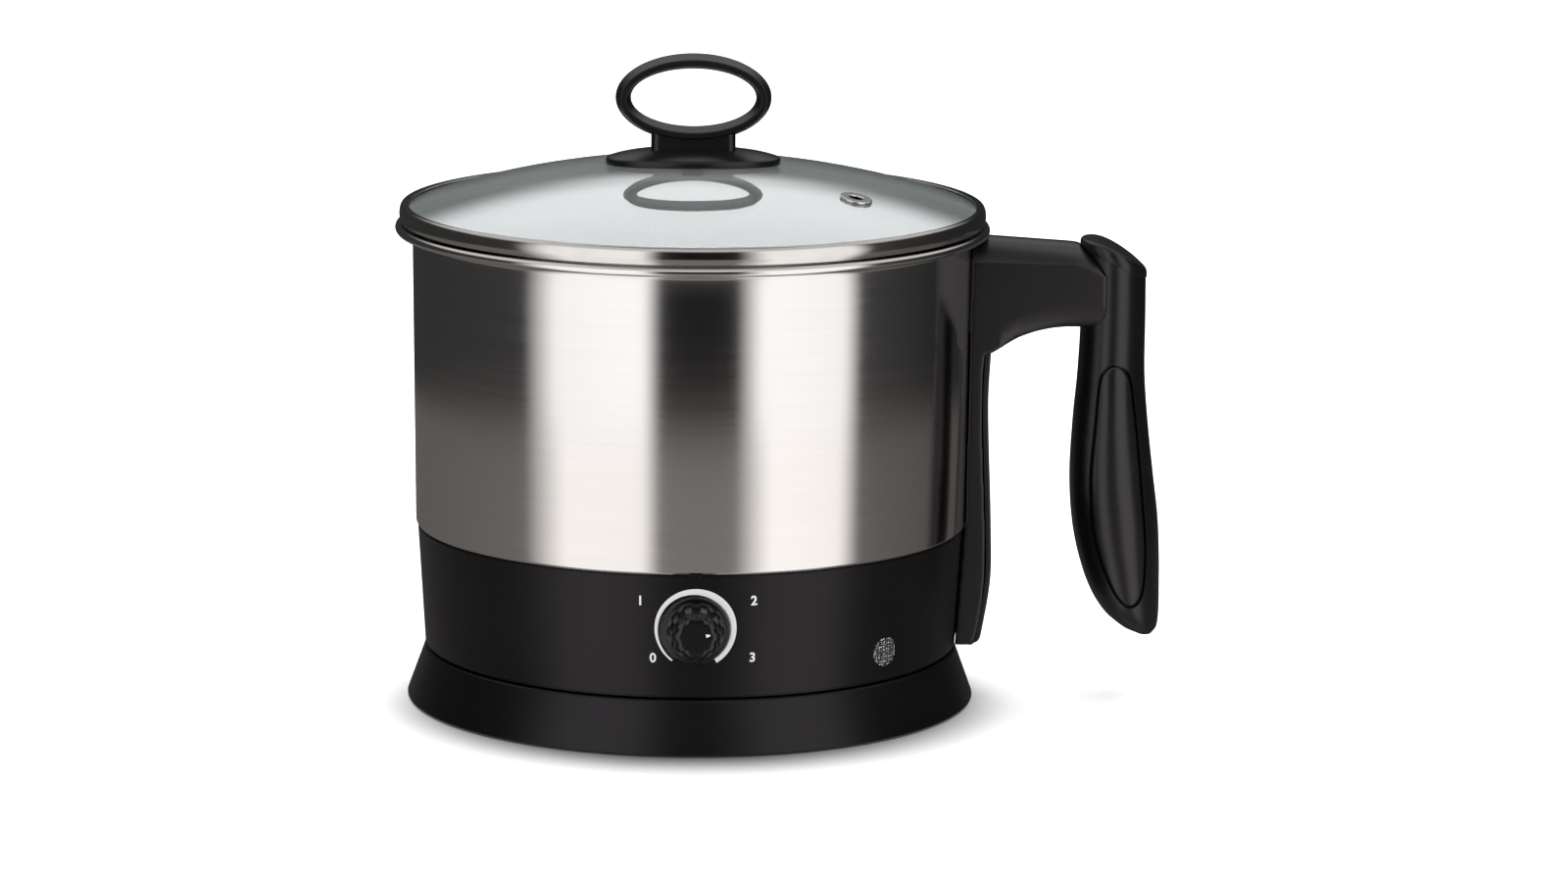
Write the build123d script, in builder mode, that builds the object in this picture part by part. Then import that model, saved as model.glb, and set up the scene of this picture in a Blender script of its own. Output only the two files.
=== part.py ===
from build123d import *
import os
from math import asin, cos, degrees, radians, sin, sqrt

os.makedirs("parts", exist_ok=True)

# An electric hot pot: a steel vessel in a moulded housing with a long loop handle and a
# temperature knob, a glass lid that lifts off, and a power base that it stands and turns on.
# Millimetres. +Z is up, the table is z = 0, the origin is on the pot's axis. The knob faces
# -Y and the handle stands out along +X.

# ------------------------------------------------------------------ driving sizes
# Fits and gaps
part_gap = 0.3  # between pieces that move past each other
seat_gap = 0.1  # round a piece that drops into its own pocket
running_fit = 0.05  # radial, a shaft in its bush

# Power base
foot_proud = 1.2  # how far the rubber feet hold the base off the table
foot_inset = 0.8  # how deep a foot sits in its pocket
foot_radius = 6.0
foot_circle = 61.0
foot_count = 4
base_height = 13.3
base_flare = 4.8  # how much the skirt widens from the deck down to the table
base_wall = 2.2
base_round = 1.0
deck_thickness = 2.0
island_radius = 24.0  # raised middle of the deck, round the connector
island_rise = 2.0
plate_thickness = 1.6
gland_bore = 3.3
gland_wall = 1.0
gland_flange = 1.4
gland_width = 15.0
gland_length = 9.5
gland_proud = 0.6

# Connector between the base and the pot
tower_radius = 17.2
tower_rise = 8.0  # above the deck
tower_flange = 3.0
pin_radius = 1.9
pin_wall = 0.45
ring_radii = (8.0, 12.6)  # inner faces of the two contact rings
ring_thickness = 0.7
slot_width = 2.4
contact_reach = 8.5  # how far pin and rings stand down from the pot
cup_wall = 2.0
cup_flange = 2.0
cup_top = 3.2

# Housing of the pot
band_height = 33.5
band_taper = 2.1  # how much the housing narrows from its top edge to its bottom edge
band_wall = 2.4
band_inset = 0.5  # the top edge lies this much inside the steel wall
band_ledge = 4.0  # shelf that carries the vessel
ledge_thickness = 1.8
floor_recess = 3.0  # the closing floor lies this far above the housing's bottom edge
floor_thickness = 1.6
post_radius = 4.0
post_count = 3
post_sink = 1.0  # how far a post runs into the wall
post_hole = 10.0
tab_width = 3.6
tab_height = 0.5

# Vessel
pot_radius = 75.1  # outside, just above the housing
pot_draft = 0.8  # how much wider the wall is at the rim
pot_wall = 0.8
pot_height = 85.9  # from the vessel's bottom to the underside of its rim flange
pot_stub = 5.2  # how deep the vessel sits in the housing
pot_joggle = 1.9  # step in the wall that the housing's edge closes against
shoulder_radius = 2.0
pot_corner = 2.5
rim_flare = 2.2
bead_radius = 1.3
bead_reach = 3.4  # from the wall to the bead's centre
seal_thickness = 0.8
seal_width = 2.2
seal_margin = 1.0  # shelf left inside the seal

# Heater
plate_margin = 11.2  # from the stub's wall in to the heat plate's edge
heat_plate_thickness = 3.0
element_margin = 20.0  # from the plate's edge in to the middle of the element
element_start = 30.0
element_width = 6.4
element_height = 6.6
element_sweep = 300.0
element_leg = 3.4
leg_play = 0.4  # the legs are this much thinner than the element
terminal_radius = 1.6
terminal_length = 6.0
terminal_stub = 2.0
tab_thickness = 0.8  # push-on tabs
tab_breadth = 5.0
lead_radius = 0.5
lead_length = 6.0
cutout_radius = 8.0
cutout_height = 6.0
fuse_radius = 2.0
fuse_length = 13.0
clip_thickness = 0.8

# Thermostat and knob
knob_height = 18.9  # the knob's axis above the housing's bottom edge
knob_recess = 0.9  # spot face in the housing behind the knob
skirt_radius = 9.2
skirt_thickness = 2.3
skirt_slope = 12.0
knob_radius = 7.35
knob_taper = 9.0
knob_length = 10.4  # whole knob, from the back of its skirt to its face
flute_count = 10
flute_radius = 1.5
flute_depth = 0.8
knob_round = 0.8
pointer_size = 1.5
pointer_angle = 80.0  # clockwise from straight up, as the knob stands
shaft_radius = 3.0
shaft_flat = 0.8
shaft_engage = 7.5
thermostat_width = 20.0
thermostat_depth = 12.0
thermostat_height = 11.0
case_round = 1.5
bush_radius = 4.5
bush_length = 5.6
bracket_thickness = 1.2
bracket_width = 36.0
bracket_screw_spacing = 28.0
boss_height = 3.0  # bosses inside the housing that the bracket is screwed to

# Indicator lamp
lens_height = 8.4  # above the housing's bottom edge
lens_angle = 44.0  # from the knob round towards the handle
lens_radius = 3.95
lens_proud = 0.4
lens_flange = 0.8
lamp_radius = 2.1
lamp_length = 9.0
lens_sleeve = 10.0

# Handle
handle_half_width = 11.5
arm_drop = 0.7  # the arm's top lies this far below the bead
arm_crown = 5.8
arm_level = 26.6  # from the wall to where the arm's top starts to fall
arm_height = 23.9  # top of the arm to its underside, at the grip
cap_slope = 27.5
arm_stop = 2.7  # the arm's sides end this far short of the grip's middle
arm_bend = 15.0  # radius of the bend from the level top to the slope
cap_fall = 4.1  # middle of the cap's top below the top of the arm
strap_reach = 4.4  # wall to the strap's outer face, at its waist
strap_belly = 1.2  # how much further out it stands lower down
strap_tuck = 1.6  # how far its bottom end comes back in
strap_cover = 1.5
strap_lift = 1.0
strap_corner = 3.0
arch_fall = 7.0  # the arch drops this far from the grip to the strap
arch_rise = 1.0  # and this far by the middle of the finger gap
arch_round = 3.0
strap_edge_round = 1.0
strap_screw_height = 12.0  # above the housing's bottom edge
strap_screw_reach = 4.8
screw_floor = 1.8  # what a screw's head is pulled against
finger_gap = 25.4
grip_width = 17.7
grip_depth = 23.2
grip_tip_lift = 1.4
grip_round = 1.2
inlay_depth = 2.8
inlay_groove = 0.35
cap_thickness = 2.2
cap_round = 0.8
cap_lip = 0.25  # how far the cap stands out past the grip's sides
tongue_width = 11.0
tongue_height = 9.0
tongue_length = 10.0
tongue_drop = 12.0  # below the top of the arm
bracket_plate = 1.2
bracket_half_width = 8.0
bracket_span = 20.0
lug_length = 14.0
lug_width = 10.0
lug_height = 7.0
lug_lift = 1.0  # above the arm's underside at the grip
bracket_low = 2.6  # the bracket's plate reaches this far below its lug

# Screws
screw_radius = 1.5
screw_head = 2.8
screw_head_height = 1.6
screw_slot = 0.8
slot_length = 4.0
boss_wall = 1.0  # plastic left round and over a screw

# Lid
rim_overlap = 0.2  # the lid's rim lies this far inside the bead
rim_height = 4.5
rim_wall = 0.4
rim_lip = 2.2  # how far the lip reaches in over the glass
rim_roll = 1.2
locating_skirt = 6.0
locating_play = 0.8
glass_thickness = 3.0
glass_edge_gap = 0.6
dome_rise = 13.25
vent_circle = 53.5
vent_angle = 37.0  # from the handle round towards the knob
vent_hole = 1.8
vent_flange = 4.35
vent_wall = 0.7
knob_hole = 3.0

# Lid knob
flange_half_width = 23.6
flange_half_depth = 15.0
flange_thickness = 1.9
gasket_radius = 8.0
gasket_thickness = 0.5
neck_width = 22.8
neck_depth = 9.4
neck_round = 2.0
ring_half_width = 19.0  # to the middle of the ring's section
ring_half_height = 9.9
ring_lift = 15.0  # middle of the ring above the flange's top
ring_section = 4.4
ring_depth = 10.0
ring_face = 1.6
knob_screw_reach = 6.0  # into the knob, above the glass
washer_radius = 6.0
washer_thickness = 0.8

# ------------------------------------------------------------------ levels and radii
base_z = foot_proud
deck_z = base_z + base_height
plate_top_z = base_z + plate_thickness
deck_under_z = deck_z - deck_thickness
tower_top_z = deck_z + tower_rise
band_z = deck_z + part_gap
band_top_z = band_z + band_height
floor_z = band_z + floor_recess
floor_top_z = floor_z + floor_thickness
pot_z = band_top_z - pot_stub
ledge_z = pot_z - seal_thickness
flange_z = pot_z + pot_height
bead_z = flange_z + pot_wall / 2
bead_top_z = bead_z + bead_radius
heat_z = pot_z - heat_plate_thickness
element_z = heat_z - element_height

band_top_radius = pot_radius - band_inset
band_bottom_radius = band_top_radius - band_taper
deck_radius = band_bottom_radius
base_radius = deck_radius + base_flare
pot_top_radius = pot_radius + pot_draft
stub_radius = pot_radius - pot_joggle
plate_radius = stub_radius - plate_margin
element_radius = plate_radius - element_margin
bead_circle = pot_top_radius + bead_reach
shoulder_z = band_top_z + part_gap + shoulder_radius
flare_z = flange_z - rim_flare


def band_radius(z):
    """Outside radius of the housing at height z."""
    return band_bottom_radius + band_taper * (z - band_z) / band_height


def skirt_face(z):
    """Outside radius of the base's flared skirt at height z."""
    return base_radius - base_flare * (z - base_z) / base_height


def radial_plane(angle, z, distance=0.0):
    """A plane square to the radius at angle (from +X), facing outwards."""
    out = Vector(cos(radians(angle)), sin(radians(angle)), 0)
    return Plane(origin=out * distance + Vector(0, 0, z), x_dir=Vector(-out.Y, out.X, 0), z_dir=out)


def section_plane(angle):
    """A plane through the axis at angle: local x is the radius and local y is height."""
    a = radians(angle)
    return Plane(origin=(0, 0, 0), x_dir=(cos(a), sin(a), 0), z_dir=(sin(a), -cos(a), 0))


def save(builder, name):
    """Labels a finished piece and writes its STEP file."""
    builder.part.label = name
    export_step(builder.part, f"parts/{name}.step")


# ------------------------------------------------------------------ power base
plate_radius_out = skirt_face(plate_top_z) - base_wall - seat_gap
screw_circle = foot_circle - foot_radius - 2 * screw_head
cup_radius = screw_head + part_gap + plate_thickness
cup_top_z = plate_top_z + screw_head_height + plate_thickness
post_z = cup_top_z
gland_z = (plate_top_z + deck_under_z) / 2
gland_height = deck_under_z - plate_top_z - 2 * seat_gap
gland_radius = gland_bore + gland_wall
gland_face = skirt_face(gland_z) + gland_proud
gland_back = gland_face - gland_length

# The cord's way in is a thick stretch of the skirt at the back.
with BuildPart() as gland_boss:
    with BuildSketch(radial_plane(90, gland_z, gland_back + gland_flange)):
        Rectangle(gland_width, gland_height)
    extrude(amount=gland_length)
    with BuildSketch(Plane.XZ):
        with BuildLine():
            Polyline((0, base_z), (base_radius, base_z), (deck_radius, deck_z), (0, deck_z), close=True)
        make_face()
    revolve(axis=Axis.Z, mode=Mode.INTERSECT)

with BuildPart() as base_shell:
    with BuildSketch(Plane.XZ):
        with BuildLine():
            Polyline(
                (base_radius - base_wall, base_z),
                (base_radius, base_z),
                (deck_radius, deck_z),
                (island_radius + island_rise, deck_z),
                (island_radius, deck_z + island_rise),
                (tower_radius + seat_gap, deck_z + island_rise),
                (tower_radius + seat_gap, deck_under_z),
                (deck_radius - base_wall, deck_under_z),
                close=True,
            )
        make_face()
    revolve(axis=Axis.Z)
    rims = base_shell.edges().filter_by(GeomType.CIRCLE)
    fillet(rims.filter_by(lambda e: abs(e.radius - deck_radius) < seat_gap), base_round)
    with BuildSketch(Plane.XY.offset(post_z)):
        with PolarLocations(screw_circle, post_count, start_angle=30):
            Circle(screw_head + boss_wall)
    extrude(until=Until.NEXT)
    with BuildSketch(Plane.XY.offset(post_z)):
        with PolarLocations(screw_circle, post_count, start_angle=30):
            Circle(screw_radius + seat_gap)
    extrude(amount=deck_under_z - post_z - boss_wall, mode=Mode.SUBTRACT)
    add(gland_boss.part)
    with BuildSketch(radial_plane(90, gland_z, gland_back)):
        Circle(gland_radius + seat_gap)
    extrude(amount=gland_length + base_flare, mode=Mode.SUBTRACT)
save(base_shell, "base_shell")

with BuildPart() as base_plate:
    with BuildSketch(Plane.XY.offset(base_z)):
        Circle(plate_radius_out)
    extrude(amount=plate_thickness)
    with BuildSketch(Plane.XY.offset(plate_top_z)):
        Circle(tower_radius + tower_flange - seat_gap)
        Circle(tower_radius, mode=Mode.SUBTRACT)
    extrude(amount=deck_under_z - tower_flange - plate_top_z)
    with BuildSketch(Plane.XY.offset(base_z)):
        with PolarLocations(screw_circle, post_count, start_angle=30):
            Circle(cup_radius)
    extrude(amount=cup_top_z - base_z)
    with BuildSketch(Plane.XY.offset(base_z)):
        with PolarLocations(screw_circle, post_count, start_angle=30):
            Circle(screw_head + part_gap)
    extrude(amount=cup_top_z - plate_thickness - base_z, mode=Mode.SUBTRACT)
    with BuildSketch(Plane.XY.offset(base_z)):
        with PolarLocations(screw_circle, post_count, start_angle=30):
            Circle(screw_radius + seat_gap)
    extrude(amount=cup_top_z - base_z, mode=Mode.SUBTRACT)
    with BuildSketch(Plane.XY.offset(base_z)):
        Circle(foot_radius + seat_gap)
        with PolarLocations(foot_circle, foot_count, start_angle=45):
            Circle(foot_radius + seat_gap)
    extrude(amount=foot_inset, mode=Mode.SUBTRACT)
save(base_plate, "base_plate")

# The fifth foot is in the middle, and takes the push when the pot is set down on the connector.
with BuildPart() as base_feet:
    with BuildSketch(Plane.XY):
        Circle(foot_radius)
        with PolarLocations(foot_circle, foot_count, start_angle=45):
            Circle(foot_radius)
    extrude(amount=foot_proud + foot_inset)
    chamfer(base_feet.edges().group_by(Axis.Z)[0], foot_proud / 3)
save(base_feet, "base_feet")

with BuildPart() as base_screws:
    head_z = cup_top_z - plate_thickness - screw_head_height
    with BuildSketch(Plane.XY.offset(head_z)):
        with PolarLocations(screw_circle, post_count, start_angle=30):
            Circle(screw_head)
    extrude(amount=screw_head_height)
    with BuildSketch(Plane.XY.offset(head_z + screw_head_height)):
        with PolarLocations(screw_circle, post_count, start_angle=30):
            Circle(screw_radius)
    extrude(amount=deck_under_z - 2 * boss_wall - cup_top_z + plate_thickness)
    with BuildSketch(Plane.XY.offset(head_z)):
        with PolarLocations(screw_circle, post_count, start_angle=30):
            Rectangle(slot_length, screw_slot)
            Rectangle(screw_slot, slot_length)
    extrude(amount=screw_head_height / 2, mode=Mode.SUBTRACT)
save(base_screws, "base_screws")

with BuildPart() as cord_gland:
    with BuildSketch(radial_plane(90, gland_z, gland_back)):
        Rectangle(gland_width, gland_height)
        Circle(gland_bore, mode=Mode.SUBTRACT)
    extrude(amount=gland_flange)
    with BuildSketch(radial_plane(90, gland_z, gland_back + gland_flange)):
        Circle(gland_radius)
        Circle(gland_bore, mode=Mode.SUBTRACT)
    extrude(amount=gland_length - gland_flange)
save(cord_gland, "cord_gland")

# The tower of the base connector has a bore for the pot's pin and two ring slots.
with BuildPart() as base_connector:
    with BuildSketch(Plane.XY.offset(deck_under_z - tower_flange)):
        Circle(tower_radius + tower_flange)
    extrude(amount=tower_flange)
    with BuildSketch(Plane.XY.offset(deck_under_z)):
        Circle(tower_radius)
    extrude(amount=tower_top_z - deck_under_z)
    fillet(base_connector.edges().group_by(Axis.Z)[-1], base_round)
    with BuildSketch(Plane.XY.offset(deck_under_z)):
        Circle(pin_radius + seat_gap + pin_wall + part_gap)
        for ring_radius in ring_radii:
            with BuildSketch(mode=Mode.PRIVATE) as slot:
                Circle(ring_radius + ring_thickness / 2 + slot_width / 2)
                Circle(ring_radius + ring_thickness / 2 - slot_width / 2, mode=Mode.SUBTRACT)
            add(slot.sketch)
    extrude(amount=tower_rise + deck_thickness, mode=Mode.SUBTRACT)
save(base_connector, "base_connector")

contact_z = deck_under_z
contact_height = tower_rise
with BuildPart() as base_contacts:
    with BuildSketch(Plane.XY.offset(contact_z)):
        Circle(pin_radius + part_gap + pin_wall)
        Circle(pin_radius + part_gap, mode=Mode.SUBTRACT)
    extrude(amount=contact_height)
    for ring_radius in ring_radii:
        slot_out = ring_radius + ring_thickness / 2 + slot_width / 2 - seat_gap
        with BuildSketch(Plane.XY.offset(contact_z)):
            Circle(slot_out)
            Circle(slot_out - pin_wall, mode=Mode.SUBTRACT)
            Rectangle(4 * slot_out, slot_out, mode=Mode.INTERSECT)
        extrude(amount=contact_height)
save(base_contacts, "base_contacts")

# ------------------------------------------------------------------ pot's half of the connector
cup_radius_in = tower_radius + part_gap
cup_radius_out = cup_radius_in + cup_wall
cup_ceiling_z = tower_top_z + part_gap
cup_flange_z = floor_top_z + part_gap
cup_top_out_z = cup_ceiling_z + cup_top

with BuildPart() as kettle_connector:
    with BuildSketch(Plane.XZ):
        with BuildLine():
            Polyline(
                (0, cup_ceiling_z),
                (cup_radius_in, cup_ceiling_z),
                (cup_radius_in, floor_z),
                (cup_radius_out, floor_z),
                (cup_radius_out, cup_flange_z),
                (cup_radius_out + cup_flange, cup_flange_z),
                (cup_radius_out + cup_flange, cup_flange_z + cup_flange),
                (cup_radius_out, cup_flange_z + cup_flange),
                (cup_radius_out - cup_wall, cup_top_out_z),
                (0, cup_top_out_z),
                close=True,
            )
        make_face()
    revolve(axis=Axis.Z)
    with BuildSketch(Plane.XY.offset(cup_ceiling_z)):
        Circle(pin_radius + running_fit)
        for ring_radius in ring_radii:
            with BuildSketch(mode=Mode.PRIVATE) as groove:
                Circle(ring_radius + ring_thickness + running_fit)
                Circle(ring_radius - running_fit, mode=Mode.SUBTRACT)
            add(groove.sketch)
    extrude(amount=cup_top / 2, mode=Mode.SUBTRACT)
save(kettle_connector, "kettle_connector")

with BuildPart() as connector_contacts:
    with BuildSketch(Plane.XY.offset(cup_ceiling_z - contact_reach)):
        Circle(pin_radius)
        for ring_radius in ring_radii:
            with BuildSketch(mode=Mode.PRIVATE) as ring:
                Circle(ring_radius + ring_thickness)
                Circle(ring_radius, mode=Mode.SUBTRACT)
            add(ring.sketch)
    extrude(amount=contact_reach + cup_top / 2)
save(connector_contacts, "connector_contacts")

# ------------------------------------------------------------------ vessel
# The steel wall steps in above the housing, so that the housing's edge closes against it.
with BuildPart() as pot_vessel:
    with BuildSketch(Plane.XZ):
        with BuildLine():
            inner = stub_radius - pot_wall
            Polyline(
                (0, pot_z),
                (stub_radius, pot_z),
                (stub_radius, shoulder_z - shoulder_radius),
            )
            step_z = shoulder_z - shoulder_radius
            Line((stub_radius, step_z), (pot_radius - shoulder_radius / 2, step_z))
            ThreePointArc(
                (pot_radius - shoulder_radius / 2, shoulder_z - shoulder_radius),
                (pot_radius - shoulder_radius / 8, shoulder_z - shoulder_radius * 0.6),
                (pot_radius, shoulder_z),
            )
            Line((pot_radius, shoulder_z), (pot_top_radius, flare_z))
            ThreePointArc(
                (pot_top_radius, flare_z),
                (pot_top_radius + rim_flare * (1 - sqrt(0.5)), flare_z + rim_flare * sqrt(0.5)),
                (pot_top_radius + rim_flare, flange_z),
            )
            Polyline(
                (pot_top_radius + rim_flare, flange_z),
                (bead_circle, flange_z),
                (bead_circle, flange_z + pot_wall),
                (pot_top_radius + rim_flare, flange_z + pot_wall),
            )
            lip = rim_flare + pot_wall
            ThreePointArc(
                (pot_top_radius + rim_flare, flange_z + pot_wall),
                (pot_top_radius + rim_flare - lip * sqrt(0.5), flare_z + lip * sqrt(0.5)),
                (pot_top_radius - pot_wall, flare_z),
            )
            Polyline(
                (pot_top_radius - pot_wall, flare_z),
                (pot_radius - pot_wall, shoulder_z + pot_wall),
                (inner, shoulder_z + pot_wall - shoulder_radius / 2),
                (inner, pot_z + pot_wall),
                (0, pot_z + pot_wall),
                (0, pot_z),
            )
        make_face()
        with Locations((bead_circle, bead_z)):
            Circle(bead_radius)
    revolve(axis=Axis.Z)
    rounds = pot_vessel.edges().filter_by(GeomType.CIRCLE).sort_by(Axis.Z)
    fillet(rounds.filter_by(lambda e: abs(e.radius - stub_radius) < seat_gap)[0], pot_corner)
    fillet(rounds.filter_by(lambda e: abs(e.radius - inner) < seat_gap)[0], pot_corner - pot_wall)
save(pot_vessel, "pot_vessel")

with BuildPart() as seal_ring:
    with BuildSketch(Plane.XY.offset(ledge_z)):
        Circle(stub_radius - pot_corner)
        Circle(stub_radius - pot_corner - seal_width, mode=Mode.SUBTRACT)
    extrude(amount=seal_thickness)
save(seal_ring, "seal_ring")

# ------------------------------------------------------------------ heater under the vessel
with BuildPart() as heat_plate:
    with BuildSketch(Plane.XY.offset(heat_z)):
        Circle(plate_radius)
    extrude(amount=heat_plate_thickness)
    chamfer(heat_plate.edges().group_by(Axis.Z)[0], heat_plate_thickness / 4)
save(heat_plate, "heat_plate")

# The sheathed element is pressed flat on its upper side, where it is brazed to the plate.
with BuildPart() as heating_element:
    with BuildSketch(section_plane(element_start)):
        with Locations((element_radius, heat_z - element_height + element_width / 2)):
            Circle(element_width / 2)
        with Locations((element_radius, heat_z - (element_height - element_width / 2) / 2)):
            Rectangle(element_width, element_height - element_width / 2)
    revolve(axis=Axis.Z, revolution_arc=element_sweep)
    for angle in (element_start, element_start + element_sweep):
        with BuildSketch(Plane.XY.offset(element_z - element_leg)):
            with PolarLocations(element_radius, 1, start_angle=angle):
                Circle(element_width / 2 - leg_play)
        extrude(amount=element_leg + element_width / 2)
save(heating_element, "heating_element")

with BuildPart() as element_terminals:
    for angle in (element_start, element_start + element_sweep):
        with BuildSketch(Plane.XY.offset(element_z - element_leg - terminal_length)):
            with PolarLocations(element_radius, 1, start_angle=angle):
                Rectangle(terminal_radius / 2, 2.5 * terminal_radius)
        extrude(amount=terminal_length - terminal_stub)
        with BuildSketch(Plane.XY.offset(element_z - element_leg - terminal_stub)):
            with PolarLocations(element_radius, 1, start_angle=angle):
                Circle(terminal_radius)
        extrude(amount=terminal_stub)
save(element_terminals, "element_terminals")

with BuildPart() as boil_dry_cutout:
    with BuildSketch(Plane.XY.offset(heat_z - cutout_height)):
        Circle(cutout_radius)
    extrude(amount=cutout_height)
    chamfer(boil_dry_cutout.edges().group_by(Axis.Z)[0], cutout_height / 6)
    with BuildSketch(Plane.XY.offset(heat_z - cutout_height)):
        with Locations((cutout_radius * 0.6, 0), (-cutout_radius * 0.6, 0)):
            Rectangle(tab_thickness, tab_breadth)
    extrude(amount=-terminal_length / 2)
    with BuildSketch(Plane.XY.offset(heat_z - clip_thickness)):
        Rectangle(3 * cutout_radius, cutout_radius)
    extrude(amount=clip_thickness)
save(boil_dry_cutout, "boil_dry_cutout")

fuse_y = element_radius / 2
fuse_z = heat_z - fuse_radius - seat_gap - clip_thickness / 2
with BuildPart() as thermal_fuse:
    with BuildSketch(Plane.YZ.offset(-fuse_length / 2)):
        with Locations((fuse_y, fuse_z)):
            Circle(fuse_radius)
    extrude(amount=fuse_length)
    with BuildSketch(Plane.YZ.offset(-fuse_length / 2 - lead_length)):
        with Locations((fuse_y, fuse_z)):
            Circle(lead_radius)
    extrude(amount=fuse_length + 2 * lead_length)
save(thermal_fuse, "thermal_fuse")

with BuildPart() as fuse_clip:
    with BuildSketch(Plane.YZ.offset(-fuse_length / 4)):
        with Locations((fuse_y, fuse_z)):
            Circle(fuse_radius + seat_gap + clip_thickness)
        with Locations((fuse_y, heat_z - clip_thickness / 2)):
            Rectangle(6 * fuse_radius, clip_thickness)
        with Locations((fuse_y, fuse_z)):
            Circle(fuse_radius + seat_gap, mode=Mode.SUBTRACT)
        with Locations((fuse_y, heat_z + fuse_radius)):
            Rectangle(8 * fuse_radius, 2 * fuse_radius, mode=Mode.SUBTRACT)
    extrude(amount=fuse_length / 2)
save(fuse_clip, "fuse_clip")

# ------------------------------------------------------------------ housing
knob_z = band_z + knob_height
recess_face = band_radius(knob_z) - knob_recess
wall_in = band_radius(knob_z) - band_wall
bracket_face = wall_in - boss_height
thermostat_face = bracket_face - bracket_thickness
lens_z = band_z + lens_height
lens_side = lens_angle - 90
lens_wall = band_radius(lens_z)
lens_back = lens_wall - band_wall - 2 * part_gap
post_circle = band_radius(floor_z) - band_wall - post_radius + post_sink
ledge_under_z = ledge_z - ledge_thickness
strap_screw_z = band_z + strap_screw_height

with BuildPart() as housing_band:
    with BuildSketch(Plane.XZ):
        with BuildLine():
            ledge_in = stub_radius - pot_corner - seal_width - seal_margin
            Polyline(
                (band_bottom_radius - band_wall, band_z),
                (band_bottom_radius, band_z),
                (band_top_radius, band_top_z),
                (stub_radius + seat_gap, band_top_z),
                (stub_radius + seat_gap, ledge_z),
                (ledge_in, ledge_z),
                (ledge_in, ledge_under_z),
                (band_radius(ledge_under_z) - band_wall, ledge_under_z),
                close=True,
            )
        make_face()
    revolve(axis=Axis.Z)
    with BuildSketch(Plane.XY.offset(floor_top_z)):
        with PolarLocations(post_circle, post_count, start_angle=90):
            Circle(post_radius)
    extrude(amount=ledge_under_z - floor_top_z)
    with BuildSketch(Plane.XY.offset(floor_top_z)):
        with PolarLocations(post_circle, post_count, start_angle=90):
            Circle(screw_radius + seat_gap)
    extrude(amount=post_hole, mode=Mode.SUBTRACT)
    with BuildSketch(radial_plane(-90, knob_z, bracket_face)):
        with GridLocations(bracket_screw_spacing, 1, 2, 1):
            Circle(2 * screw_radius)
    extrude(amount=wall_in - bracket_face)
    with BuildSketch(radial_plane(-90, knob_z, recess_face)):
        Circle(skirt_radius + part_gap)
    extrude(amount=2 * band_wall, mode=Mode.SUBTRACT)
    with BuildSketch(radial_plane(-90, knob_z, bracket_face)):
        Circle(bush_radius + seat_gap)
        with GridLocations(bracket_screw_spacing, 1, 2, 1):
            Circle(screw_radius + seat_gap)
    extrude(amount=wall_in - bracket_face, mode=Mode.SUBTRACT)
    with BuildSketch(radial_plane(-90, knob_z, bracket_face)):
        Circle(bush_radius + seat_gap)
    extrude(amount=boss_height + band_wall, mode=Mode.SUBTRACT)
    with BuildSketch(radial_plane(lens_side, lens_z, lens_back - lens_flange)):
        Circle(lens_radius + seat_gap)
    extrude(amount=2 * band_wall, mode=Mode.SUBTRACT)
    with BuildSketch(radial_plane(0, strap_screw_z, wall_in - band_wall)):
        Circle(screw_radius + seat_gap)
    extrude(amount=3 * band_wall, mode=Mode.SUBTRACT)
    with BuildSketch(Plane.XY.offset(band_top_z)):
        with Locations((0, -(band_top_radius + stub_radius + seat_gap) / 2)):
            Rectangle(tab_width, band_top_radius - stub_radius - 2 * seat_gap)
    extrude(amount=part_gap - running_fit)
save(housing_band, "housing_band")

rib_in = cup_radius_out + cup_flange + part_gap
rib_out = rib_in + cup_wall
keeper_z = cup_flange_z + cup_flange + part_gap
with BuildPart() as housing_bottom:
    with BuildSketch(Plane.XY.offset(floor_z)):
        Circle(band_radius(floor_z) - band_wall - seat_gap)
        Circle(cup_radius_out + part_gap, mode=Mode.SUBTRACT)
        with PolarLocations(post_circle, post_count, start_angle=90):
            Circle(screw_radius + seat_gap, mode=Mode.SUBTRACT)
    extrude(amount=floor_thickness)
    with BuildSketch(Plane.XY.offset(floor_top_z)):
        Circle(rib_out)
        Circle(rib_in, mode=Mode.SUBTRACT)
        with PolarLocations((rib_out + post_circle) / 2, 6):
            Rectangle(post_circle - rib_out - 2 * post_radius, cup_wall)
    extrude(amount=keeper_z - floor_top_z)
    with BuildSketch(radial_plane(lens_side, lens_z, lens_back - lens_flange - seat_gap)):
        Circle(lens_radius + lens_flange + seat_gap)
    extrude(amount=band_wall, mode=Mode.SUBTRACT)
save(housing_bottom, "housing_bottom")

with BuildPart() as connector_keeper:
    with BuildSketch(Plane.XY.offset(keeper_z)):
        Circle(rib_out)
        Circle(cup_radius_out + part_gap, mode=Mode.SUBTRACT)
    extrude(amount=bracket_thickness)
save(connector_keeper, "connector_keeper")

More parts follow.
